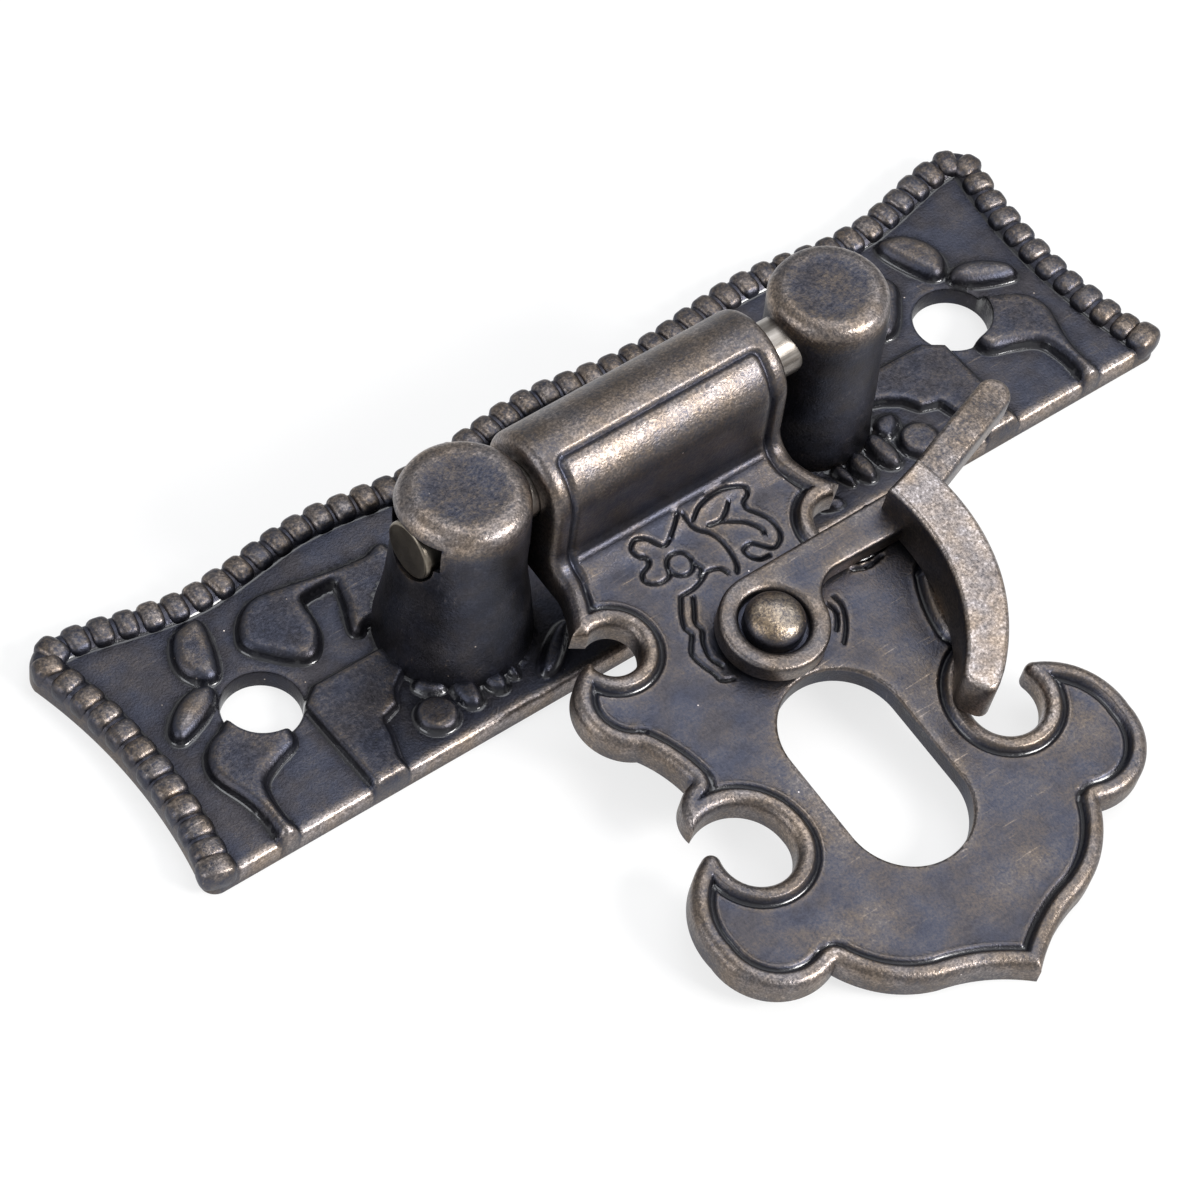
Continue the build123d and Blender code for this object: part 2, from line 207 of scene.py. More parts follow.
def line_distance(points: Array, line: Array, closed: bool = False) -> Array:
    """Distance from points to a polyline.

    Args:
        points: Points in the plane, one per row.
        line: Corners of the polyline.
        closed: Whether its end joins its start.

    Returns:
        One distance for each point.
    """
    ends = np.roll(line, -1, 0) if closed else line[1:]
    best = np.full(len(points), np.inf)
    for a, b in zip(line, ends):
        run = b - a
        w = points - a
        t = np.clip((w @ run) / max(run @ run, 1e-12), 0.0, 1.0)
        best = np.minimum(best, np.hypot(w[:, 0] - t * run[0], w[:, 1] - t * run[1]))
    return best


def inside_loops(points: Array, loops: list[Array]) -> Array:
    """Which points lie inside closed loops, counting a loop within a loop as a hole."""
    x, y = points[:, 0], points[:, 1]
    inside = np.zeros(len(points), bool)
    for loop in loops:
        for a, b in zip(loop, np.roll(loop, -1, 0)):
            crosses = (a[1] > y) != (b[1] > y)
            if crosses.any():
                at = a[0] + (y - a[1]) / (b[1] - a[1] + 1e-15) * (b[0] - a[0])
                inside ^= crosses & (x < at)
    return inside


def depth_in(points: Array, loops: list[Array]) -> Array:
    """Distance inside closed loops, negative outside them."""
    distance = np.min([line_distance(points, loop, True) for loop in loops], 0)
    return np.where(inside_loops(points, loops), distance, -distance)


def beside(line: Array, offsets: tuple, closed: bool = False) -> Array:
    """Rows of points at both sides of a line.

    Args:
        line: The line's points.
        offsets: Distances of the rows from the line.
        closed: Whether the line is a loop.

    Returns:
        All points of the rows.
    """
    if closed:
        tangent = np.roll(line, -1, 0) - np.roll(line, 1, 0)
    else:
        tangent = np.gradient(line, axis=0)
    tangent = tangent / np.maximum(np.linalg.norm(tangent, axis=1, keepdims=True), 1e-9)
    normal = np.stack([-tangent[:, 1], tangent[:, 0]], 1)
    return np.vstack([line + normal * o * s for o in offsets for s in (1, -1)])


def put(name: str, data: bpy.types.ID) -> Piece:
    """Make an object of some data and link it to the scene."""
    made = bpy.data.objects.new(name, data)
    bpy.context.scene.collection.objects.link(made)
    return made


def applied(piece: Piece) -> bpy.types.Mesh:
    """Plain mesh of an object as its modifiers leave it."""
    graph = bpy.context.evaluated_depsgraph_get()
    return bpy.data.meshes.new_from_object(piece.evaluated_get(graph), depsgraph=graph)


@dataclass
class Sheet:
    """A trimmed flat sheet: points in the plane, triangles, and the index loops of its edges."""

    points: Array
    triangles: Array
    rims: list[Array]

    # Row height and least spacing of the even fill as shares of its grid, and the least distance to an edge.
    ROW_SHARE = 0.866
    FILL_SHARE = 0.62
    CLEAR = 0.035

    @classmethod
    def lay(cls, loops: list[Array], rows: list[Array], grid: float, gap: float = 0.07) -> "Sheet":
        """Fill closed loops with triangles, fine along the rows and even elsewhere.

        Args:
            loops: Outer edge and holes.
            rows: Points to follow, such as those beside the ornament's lines.
            grid: Spacing of the even fill; 0 leaves it out.
            gap: Least distance between two inner points.

        Returns:
            The sheet.
        """
        edge = np.vstack(loops)
        inner = list(rows)
        spacing = [gap] * len(rows)
        if grid:
            low, high = edge.min(0), edge.max(0)
            across = np.arange(low[0], high[0], grid)
            gx, gy = np.meshgrid(across, np.arange(low[1], high[1], grid * cls.ROW_SHARE))
            gx[1::2] += grid / 2
            inner.append(np.stack([gx.ravel(), gy.ravel()], 1))
            spacing.append(grid * cls.FILL_SHARE)
        kept = np.zeros((0, 2))
        if inner:
            cloud = np.vstack(inner)
            least = np.repeat(spacing, [len(r) for r in inner])
            usable = depth_in(cloud, loops) > cls.CLEAR
            kept = cls._thin(cloud[usable], least[usable])
        points = np.vstack([edge, kept])
        starts = np.cumsum([0] + [len(p) for p in loops])
        rims = [np.arange(a, b) for a, b in zip(starts, starts[1:])]
        edges = [(int(i), int(j)) for r in rims for i, j in zip(r, np.roll(r, -1))]
        made = geometry.delaunay_2d_cdt([Vector(p) for p in points], edges, [], 0, 1e-7, False)
        flat = np.array([tuple(v) for v in made[0]])
        triangles = np.array([f for f in made[2] if len(f) == 3])
        on_edge = (triangles < len(edge)).all(1)
        keep = ~on_edge
        keep[on_edge] = inside_loops(flat[triangles[on_edge]].mean(1), loops)
        return cls(flat, triangles[keep], rims)

    @staticmethod
    def _thin(cloud: Array, spacing: Array) -> Array:
        """Keep points in order, leaving out those too near to one already kept."""
        cell = 0.2
        kept: dict[tuple, list] = {}
        result = []
        for (x, y), least in zip(cloud.tolist(), spacing.tolist()):
            i, j = int(x // cell), int(y // cell)
            cells = [kept[i + a, j + b] for a in (-1, 0, 1) for b in (-1, 0, 1) if (i + a, j + b) in kept]
            if any((px - x) ** 2 + (py - y) ** 2 < least * least for near in cells for px, py in near):
                continue
            kept.setdefault((i, j), []).append((x, y))
            result.append((x, y))
        return np.array(result).reshape(-1, 2)


@dataclass
class Shell:
    """Points, faces and polish of one casting, gathered in millimetres."""

    points: list[Array] = field(default_factory=list)
    polish: list[Array] = field(default_factory=list)
    grit: list[Array] = field(default_factory=list)
    faces: list[list[int]] = field(default_factory=list)
    count: int = 0

    WELD = 0.002

    def add(self, points: Array, faces: list, polish: Array | float, grit: Array | float = 0.0) -> int:
        """Take in points and faces.

        Args:
            points: Places in the latch's frame.
            faces: Corner indices, counted from these points.
            polish: How far the finish is worn to bare metal, 0 to 1, and black below 0; it also carries
                painted shade in the holes, the slot and the post's mouth, and painted highlights on lips and
                burrs.
            grit: How strongly the wear is speckled, 0 to 1.

        Returns:
            Index of the first point.
        """
        start = self.count
        self.points.append(np.asarray(points, float))
        self.polish.append(np.broadcast_to(np.asarray(polish, float), (len(points),)))
        self.grit.append(np.broadcast_to(np.asarray(grit, float), (len(points),)))
        self.faces.extend([[start + int(i) for i in f] for f in faces])
        self.count += len(points)
        return start

    def wall(self, upper: Array, lower: Array) -> None:
        """Join two index loops of equal length by a band of faces."""
        n = len(upper)
        for i in range(n):
            j = (i + 1) % n
            self.faces.append([int(upper[i]), int(upper[j]), int(lower[j]), int(lower[i])])

    def finish(self, name: str, sharp: float = 50.0, edge_wear: float = 1.0) -> Piece:
        """Weld the shell into an object with its worn finish and its painted shade and highlights stored on
        its points.

        Args:
            name: Name of the piece.
            sharp: Edges steeper than this many degrees stay crisp.
            edge_wear: How strongly ridges are rubbed bright.

        Returns:
            The object, linked to the scene.
        """
        mesh = bpy.data.meshes.new(name)
        bm = bmesh.new()
        polish_layer = bm.verts.layers.float.new("polish")
        grit_layer = bm.verts.layers.float.new("grit")
        places = np.vstack(self.points) * MM
        verts = [bm.verts.new(p) for p in places.tolist()]
        for layer, parts in ((polish_layer, self.polish), (grit_layer, self.grit)):
            for vert, value in zip(verts, np.concatenate(parts).tolist()):
                vert[layer] = value
        for face in self.faces:
            corners = [verts[i] for i in face]
            if len(set(face)) > 2 and bm.faces.get(corners) is None:
                bm.faces.new(corners)
        bmesh.ops.remove_doubles(bm, verts=bm.verts, dist=self.WELD * MM)
        bmesh.ops.recalc_face_normals(bm, faces=bm.faces)
        for f in bm.faces:
            f.smooth = True
        bm.to_mesh(mesh)
        bm.free()
        mesh.set_sharp_from_angle(angle=math.radians(sharp))
        store_wear(mesh, edge_wear)
        return put(name, mesh)


def dressed(piece: Piece, finish: Material) -> Piece:
    """Give a piece its one finish."""
    piece.data.materials.clear()
    piece.data.materials.append(finish)
    return piece


def per_point(mesh: bpy.types.Mesh, key: str) -> Array:
    """Read a vector of each point, such as its place or its normal."""
    values = np.zeros(len(mesh.vertices) * 3)
    mesh.vertices.foreach_get(key, values)
    return values.reshape(-1, 3)


def store(mesh: bpy.types.Mesh, name: str, values: Array) -> None:
    """Store one number on each point, over any that is there under the name."""
    layer = mesh.attributes.get(name)
    if layer is None:
        layer = mesh.attributes.new(name, "FLOAT", "POINT")
    layer.data.foreach_set("value", values.astype(np.float32))


def store_wear(mesh: bpy.types.Mesh, edge_wear: float = 1.0) -> None:
    """Store on each point how much it stands out as a ridge and lies in a hollow.

    Args:
        mesh: Mesh to read and to store on.
        edge_wear: How strongly ridges are rubbed bright.
    """
    n = len(mesh.vertices)
    co = per_point(mesh, "co") / MM
    normal = per_point(mesh, "normal")
    pairs = np.zeros(len(mesh.edges) * 2, int)
    mesh.edges.foreach_get("vertices", pairs)
    a, b = pairs.reshape(-1, 2).T
    length = np.linalg.norm(co[a] - co[b], axis=1)
    weight = 1.0 / np.maximum(length, 0.02)
    total = np.bincount(a, weight, n) + np.bincount(b, weight, n)

    def settle(places: Array, rounds: int) -> Array:
        """Relax the points towards their neighbours."""
        for _ in range(rounds):
            moved = np.stack(
                [np.bincount(a, weight * places[b, k], n) + np.bincount(b, weight * places[a, k], n)
                 for k in range(places.shape[1])], 1)
            places = 0.4 * places + 0.6 * moved / np.maximum(total, 1e-9)[:, None]
        return places

    near = settle(co, 5)
    far = settle(near, 30)
    rise = ((co - near) * normal).sum(1) * 10.0 + ((co - far) * normal).sum(1) * 1.4
    rise = settle(rise[:, None], 2)[:, 0]
    for name, values in (("ridge", rise * edge_wear), ("hollow", -rise)):
        store(mesh, name, np.clip(values, 0.0, 1.0))


def lathe(profile: Array, segments: int) -> tuple[Array, list]:
    """Turn a profile of (radius, height) pairs about the vertical axis.

    Args:
        profile: Profile points, starting and ending on the axis.
        segments: Steps round the axis.

    Returns:
        Points about the origin, and faces.
    """
    circle = ring_of(1.0, segments)
    points, faces, rings = [], [], []
    for r, z in profile:
        if r < 1e-6:
            rings.append([len(points)])
            points.append((0.0, 0.0, z))
        else:
            rings.append(list(range(len(points), len(points) + segments)))
            points.extend((r * x, r * y, z) for x, y in circle)
    for low, high in zip(rings, rings[1:]):
        for i in range(segments):
            j = (i + 1) % segments
            if len(low) == 1:
                faces.append([low[0], high[j], high[i]])
            elif len(high) == 1:
                faces.append([low[i], low[j], high[0]])
            else:
                faces.append([low[i], low[j], high[j], high[i]])
    return np.array(points), faces


def rounded_profile(corners: list, radii: list, steps: int = 7) -> Array:
    """Profile line with rounded corners.

    Args:
        corners: Corner points of the line.
        radii: Rounding of each corner, 0 for none.
        steps: Points laid in each rounding.

    Returns:
        The profile's points.
    """
    p = np.array(corners, float)
    out = [p[0]]
    for i in range(1, len(p) - 1):
        a, b = p[i - 1] - p[i], p[i + 1] - p[i]
        a, b = a / np.linalg.norm(a), b / np.linalg.norm(b)
        if radii[i] <= 0:
            out.append(p[i])
            continue
        t = np.linspace(0.0, 1.0, steps)[:, None]
        s, e = p[i] + a * radii[i], p[i] + b * radii[i]
        out.extend((1 - t) ** 2 * s + 2 * t * (1 - t) * p[i] + t**2 * e)
    out.append(p[-1])
    return np.array(out)


@dataclass
class Placing:
    """A local frame in the latch's frame, in millimetres."""

    origin: Array
    across: Array
    along: Array
    up: Array

    def world(self, x: Array, y: Array, z: Array | float) -> Array:
        """Places of local points in the latch's frame."""
        z = np.broadcast_to(np.asarray(z, float), np.shape(x))
        return self.origin + x[:, None] * self.across + y[:, None] * self.along + z[:, None] * self.up


class Board:
    """A material's node tree with short ways to add to it."""

    def __init__(self, name: str) -> None:
        """Start a material with its surface shader."""
        self.material = bpy.data.materials.new(name)
        self.material.use_nodes = True
        self.tree = self.material.node_tree
        self.tree.nodes.clear()
        self.shader = self.add("ShaderNodeBsdfPrincipled")
        self.output = self.add("ShaderNodeOutputMaterial")
        self.link(self.shader.outputs["BSDF"], self.output.inputs["Surface"])

    def add(self, kind: str) -> bpy.types.Node:
        """Add a node of a kind."""
        return self.tree.nodes.new(kind)

    def link(self, source: Socket, target: Socket) -> None:
        """Join two sockets."""
        self.tree.links.new(source, target)

    def give(self, target: Socket, value: object) -> None:
        """Feed a socket from another socket or with a plain value."""
        if isinstance(value, bpy.types.NodeSocket):
            self.link(value, target)
        else:
            target.default_value = value

    def surface(self, values: dict[str, object]) -> None:
        """Feed the surface shader, each input by its name."""
        for name, value in values.items():
            self.give(self.shader.inputs[name], value)

    def attribute(self, name: str) -> Socket:
        """Number stored on the piece's points."""
        node = self.add("ShaderNodeAttribute")
        node.attribute_name = name
        return node.outputs["Fac"]

    def place(self) -> Socket:
        """Coordinates that stay with the piece."""
        return self.add("ShaderNodeTexCoord").outputs["Object"]

    def drawn_out(self, place: Socket, scale: tuple, turn: float = 0.0) -> Socket:
        """Coordinates scaled along each axis and turned about Z, for streaks."""
        node = self.add("ShaderNodeMapping")
        node.inputs["Rotation"].default_value = (0.0, 0.0, turn)
        node.inputs["Scale"].default_value = scale
        self.link(place, node.inputs["Vector"])
        return node.outputs["Vector"]

    def noise(self, place: Socket, scale: float, detail: float, rough: float) -> Socket:
        """Noise over a place.

        Args:
            place: Coordinates to read.
            scale: Cells per unit.
            detail: Octaves.
            rough: Weight of the finer octaves.

        Returns:
            The noise value.
        """
        node = self.add("ShaderNodeTexNoise")
        for name, value in (("Vector", place), ("Scale", scale), ("Detail", detail), ("Roughness", rough)):
            self.give(node.inputs[name], value)
        return node.outputs["Fac"]

    def bright_specks(self, place: Socket, scale: float, radius: float, share: float) -> Socket:
        """Sparse bright specks.

        Args:
            place: Coordinates to read.
            scale: Cells per unit, of which some hold a speck.
            radius: Size of a speck as a share of its cell.
            share: Share of the cells left empty.

        Returns:
            1 in the specks and 0 elsewhere.
        """
        node = self.add("ShaderNodeTexVoronoi")
        node.inputs["Scale"].default_value = scale
        self.link(place, node.inputs["Vector"])
        drawn = self.add("ShaderNodeSeparateColor")
        self.link(node.outputs["Color"], drawn.inputs["Color"])
        near = self.span(node.outputs["Distance"], radius * 0.5, radius, 1.0, 0.0)
        return self.times(near, self.maths("GREATER_THAN", drawn.outputs["Red"], share))

    def maths(self, operation: str, first: object, second: object) -> Socket:
        """Combine two values, each a socket or a number."""
        node = self.add("ShaderNodeMath")
        node.operation = operation
        for target, value in zip(node.inputs, (first, second)):
            self.give(target, value)
        return node.outputs["Value"]

    def times(self, first: object, second: object) -> Socket:
        """Product of two values."""
        return self.maths("MULTIPLY", first, second)

    def total(self, first: Socket, *others: Socket) -> Socket:
        """Sum of values in order."""
        for other in others:
            first = self.maths("ADD", first, other)
        return first

    def shift(self, value: Socket, middle: float, gain: float) -> Socket:
        """Centre a value on its middle and scale it."""
        return self.times(self.maths("SUBTRACT", value, middle), gain)

    def span(self, value: Socket, a: float, b: float, c: float, d: float) -> Socket:
        """Map the range a to b onto c to d, held at its ends."""
        node = self.add("ShaderNodeMapRange")
        for key, number in (("From Min", a), ("From Max", b), ("To Min", c), ("To Max", d), ("Value", value)):
            self.give(node.inputs[key], number)
        return node.outputs["Result"]

    def blend(self, first: object, second: object, factor: object, way: str = "MIX") -> Socket:
        """Blend two colours, each a socket or three numbers."""
        node = self.add("ShaderNodeMix")
        node.data_type, node.blend_type = "RGBA", way
        self.give(node.inputs["Factor"], factor)
        for name, value in (("A", first), ("B", second)):
            self.give(node.inputs[name], (*value, 1.0) if isinstance(value, tuple) else value)
        return node.outputs["Result"]

    def bump(self, height: Socket, strength: float, depth: float) -> Socket:
        """Normals roughened by a height."""
        node = self.add("ShaderNodeBump")
        for name, value in (("Height", height), ("Strength", strength), ("Distance", depth)):
            self.give(node.inputs[name], value)
        return node.outputs["Normal"]


@dataclass(frozen=True)
class Bronze:
    """Antique bronze: blackened hollows, brown faces and brassy worn edges."""

    name: str
    black: tuple = (0.010, 0.010, 0.014)
    field: tuple = (0.069, 0.069, 0.083)
    brown: tuple = (0.130, 0.113, 0.103)
    worn: tuple = (0.300, 0.254, 0.222)
    bare: tuple = (0.630, 0.560, 0.515)
    stops: tuple = (0.0, 0.26, 0.44, 0.70, 1.0)
    cool: tuple = (0.93, 0.98, 1.09)
    warm: tuple = (1.05, 0.99, 0.92)
    grain: float = 6800.0
    speckle: float = 4000.0
    blotches: float = 620.0
    patches: float = 130.0
    tints: float = 420.0
    streaks: tuple = (260.0, 2600.0, 800.0)
    scratches: tuple = (420.0, 5200.0, 1200.0)
    ridge_gain: float = 0.34
    hollow_gain: float = -0.42
    blotch_gain: float = 0.33
    patch_gain: float = 0.28
    streak_gain: float = 0.13
    speckle_gain: float = 1.35
    # Sparse bright specks mixed in as bare metal: cells per unit, size of a speck, and share of empty cells.
    speck_cells: float = 760.0
    speck_size: float = 0.05
    speck_free: float = 0.45
    rough_dark: float = 0.44
    rough_bare: float = 0.29
    bump: float = 0.42
    bump_depth: float = 0.00006

    def wear_and_painted_light(self, board: Board, place: Socket, fine: Socket, blotch: Socket) -> Socket:
        """How far the finish is rubbed off, with the painted shade and highlights stored on the points added
        in: below 0 it is black, at 1 the metal is bare.

        Args:
            board: Board of the material.
            place: Coordinates that stay with the piece.
            fine: Noise of the grain.
            blotch: Noise of the blotches.

        Returns:
            The wear.
        """
        polish, ridge, hollow, grit = (board.attribute(n) for n in ("polish", "ridge", "hollow", "grit"))
        spots = board.noise(place, self.speckle, 3.0, 0.66)
        broad = board.noise(place, self.patches, 2.0, 0.5)
        streak = board.noise(board.drawn_out(place, self.streaks, 0.5), 1.0, 3.0, 0.55)
        scored = board.noise(board.drawn_out(place, self.scratches, -0.75), 1.0, 2.0, 0.5)
        scuff = board.times(board.span(scored, 0.64, 0.74, 0.0, 0.24), board.span(broad, 0.46, 0.6, 0.0, 1.0))
        wear_and_painted_light = board.total(
            polish, board.times(ridge, self.ridge_gain), board.times(hollow, self.hollow_gain),
            board.shift(blotch, 0.5, self.blotch_gain), board.shift(broad, 0.5, self.patch_gain),
            board.shift(streak, 0.52, self.streak_gain), scuff)
        strength = board.span(wear_and_painted_light, 0.0, 0.6, 0.2, 1.25)
        return board.total(
            wear_and_painted_light, board.times(board.shift(fine, 0.5, 1.0), strength),
            board.times(board.shift(spots, 0.5, self.speckle_gain), grit),
            board.bright_specks(place, self.speck_cells, self.speck_size, self.speck_free))

    def material(self) -> Material:
        """Build the finish.

        Returns:
            The material.
        """
        board = Board(self.name)
        place = board.place()
        fine = board.noise(place, self.grain, 2.0, 0.6)
        blotch = board.noise(place, self.blotches, 4.0, 0.6)
        wear_and_painted_light = self.wear_and_painted_light(board, place, fine, blotch)

        ramp = board.add("ShaderNodeValToRGB")
        colours = (self.black, self.field, self.brown, self.worn, self.bare)
        elements = ramp.color_ramp.elements
        while len(elements) < len(colours):
            elements.new(0.5)
        for element, at, colour in zip(elements, self.stops, colours):
            element.position = at
            element.color = (*colour, 1.0)
        board.link(board.span(wear_and_painted_light, -0.3, 1.0, 0.0, 1.0), ramp.inputs["Fac"])
        sway = board.span(board.noise(place, self.tints, 3.0, 0.6), 0.38, 0.62, 0.0, 1.0)
        tint = board.blend(self.cool, self.warm, sway)

        rough = board.span(wear_and_painted_light, 0.0, 1.0, self.rough_dark, self.rough_bare)
        board.surface({
            "Base Color": board.blend(ramp.outputs["Color"], tint, 1.0, "MULTIPLY"),
            "Metallic": board.span(wear_and_painted_light, -0.45, -0.12, 0.3, 1.0),
            "Roughness": board.maths("SUBTRACT", rough, board.span(wear_and_painted_light, -0.3, -0.04, 0.16, 0.0)),
            "Specular IOR Level": 0.5,
            "Coat Weight": board.span(wear_and_painted_light, -0.36, -0.2, 1.0, 0.0),
            "Coat Roughness": 0.13,
            "Normal": board.bump(board.total(fine, board.times(blotch, 1.4)), self.bump, self.bump_depth),
        })
        return board.material


@dataclass(frozen=True)
class TurnedSteel:
    """Drawn steel of the pin: grey, with turning lines round its length and dulled by handling."""

    name: str
    colour: tuple = (0.43, 0.40, 0.37)
    shade: tuple = (0.19, 0.17, 0.15)
    coat: tuple = (0.160, 0.134, 0.096)
    rings: tuple = (300.0, 4200.0, 4200.0)
    clouds: float = 900.0
    bump: float = 0.2
    bump_depth: float = 0.00004

    def material(self) -> Material:
        """Build the finish.

        Returns:
            The material.
        """
        board = Board(self.name)
        place = board.place()
        lines = board.noise(board.drawn_out(place, self.rings), 1.0, 3.0, 0.6)
        cloud = board.noise(place, self.clouds, 4.0, 0.6)
        amount = board.total(board.shift(lines, 0.5, 1.3), board.shift(cloud, 0.1, 0.9))
        metal = board.blend(self.shade, self.colour, board.span(amount, 0.0, 0.8, 0.0, 1.0))
        bare = board.total(board.attribute("polish"), board.times(board.attribute("ridge"), 0.8))
        board.surface({
            "Base Color": board.blend(self.coat, metal, bare),
            "Metallic": 1.0,
            "Roughness": board.span(cloud, 0.2, 0.8, 0.26, 0.42),
            "Normal": board.bump(lines, self.bump, self.bump_depth),
        })
        return board.material


@dataclass
class BeadRow:
    """Barrel beads laid along a line by geometry nodes."""

    pitch: float = 1.55
    width: float = 2.05
    length: float = 1.54
    height: float = 0.86
    around: int = 20
    rings: int = 12
    least: tuple = (0.95, 0.93, 0.9)
    most: tuple = (1.03, 1.04, 1.05)
    seed: int = 7

    # How square a bead's section is: 1 is round.
    SQUARE = 0.68

    def bead(self) -> Piece:
        """Make one bead, a plump barrel lying along X."""
        t = np.linspace(-1.0, 1.0, self.rings + 1)
        points, faces = lathe(np.stack([(1.0 - np.abs(t) ** 3.6) ** (1 / 2.6), t], 1), self.around)
        section = points[:, :2]
        radius = np.linalg.norm(section, axis=1, keepdims=True)
        section = np.sign(section) * np.abs(section) ** self.SQUARE * radius ** (1.0 - self.SQUARE)
        places = np.column_stack([points[:, 2], section]) * (self.length / 2, self.width / 2, self.height)
        mesh = bpy.data.meshes.new("bead")
        mesh.from_pydata((places * MM).tolist(), [], faces)
        mesh.polygons.foreach_set("use_smooth", [True] * len(mesh.polygons))
        return bpy.data.objects.new("bead", mesh)

    def tree(self) -> bpy.types.NodeTree:
        """Build the node tree that lays the beads.

        Returns:
            The tree.
        """
        tree = bpy.data.node_groups.new("bead_row", "GeometryNodeTree")
        for name, kind in (("Line", "Geometry"), ("Bead", "Object"), ("Finish", "Material"), ("Seed", "Int")):
            tree.interface.new_socket(name, in_out="INPUT", socket_type=f"NodeSocket{kind}")
        tree.interface.new_socket("Beads", in_out="OUTPUT", socket_type="NodeSocketGeometry")
        add = tree.nodes.new
        given, result = add("NodeGroupInput"), add("NodeGroupOutput")
        places = add("GeometryNodeCurveToPoints")
        places.mode = "EVALUATED"
        turn = add("FunctionNodeAlignRotationToVector")
        turn.axis, turn.pivot_axis = "X", "Z"
        vary = add("FunctionNodeRandomValue")
        vary.data_type = "FLOAT_VECTOR"
        vary.inputs["Min"].default_value = self.least
        vary.inputs["Max"].default_value = self.most
        sized = add("ShaderNodeVectorMath")
        sized.operation = "SCALE"
        size, bead = add("GeometryNodeInputRadius"), add("GeometryNodeObjectInfo")
        lay, real = add("GeometryNodeInstanceOnPoints"), add("GeometryNodeRealizeInstances")
        dress = add("GeometryNodeSetMaterial")
        for source, given_as, target, taken_as in (
                (given, "Line", places, "Curve"), (given, "Bead", bead, "Object"),
                (given, "Seed", vary, "Seed"), (places, "Points", lay, "Points"),
                (bead, "Geometry", lay, "Instance"), (places, "Tangent", turn, "Vector"),
                (turn, "Rotation", lay, "Rotation"), (vary, "Value", sized, 0),
                (size, "Radius", sized, "Scale"), (sized, "Vector", lay, "Scale"),
                (lay, "Instances", real, "Geometry"), (real, "Geometry", dress, "Geometry"),
                (given, "Finish", dress, "Material"), (dress, "Geometry", result, "Beads")):
            tree.links.new(source.outputs[given_as], target.inputs[taken_as])
        return tree

    def lay(self, line: Array, sizes: Array, level: float, finish: Material) -> Piece:
        """Lay the beads along a line.

        Args:
            line: Places of the beads in the plane of the plate.
            sizes: Size of each bead, 1 for the plain ones.
            level: Height of the bead centres.
            finish: Material of the beads.

        Returns:
            The beads as one plain mesh object.
        """
        curve = bpy.data.curves.new("bead_line", "CURVE")
        curve.dimensions = "3D"
        spline = curve.splines.new("POLY")
        spline.points.add(len(line) - 1)
        for p, (x, y), size in zip(spline.points, line, sizes):
            p.co = (x * MM, y * MM, level * MM, 1.0)
            p.radius = size
        carrier = put("bead_line", curve)
        bead, tree = self.bead(), self.tree()
        modifier = carrier.modifiers.new("beads", "NODES")
        modifier.node_group = tree
        values = {"Bead": bead, "Finish": finish, "Seed": self.seed}
        for item in tree.interface.items_tree:
            if item.in_out == "INPUT" and item.name in values:
                modifier[item.identifier] = values[item.name]
        mesh = applied(carrier)
        carrier.modifiers.remove(modifier)
        for helper in (carrier, bead):
            bpy.data.objects.remove(helper)
        mesh.name = "bead_row"
        store_wear(mesh, 0.5)
        top = smooth_step(0.40, 0.84, per_point(mesh, "co")[:, 2] / MM - level)
        store(mesh, "polish", 0.37 * top - 0.27)
        store(mesh, "grit", 0.25 + 0.7 * top)
        return put("bead_row", mesh)


@dataclass
class Leaf:
    """One raised form of the ornament's right half.

    Its outline is set out as (distance from the plate's middle, distance from the ornament's back line).
    """

    outline: list
    height: float
    round_over: float
    polish: float
    flowing: bool = True

    BACK_LINE = 8.5

    def loop(self) -> Array:
        """Closed outline in plate coordinates."""
        corners = [(x, self.BACK_LINE - u) for x, u in self.outline]
        if self.flowing:
            return flowing(corners, closed=True, per_span=5)
        return np.vstack([straight(a, b, 0.2) for a, b in zip(corners, corners[1:] + corners[:1])])


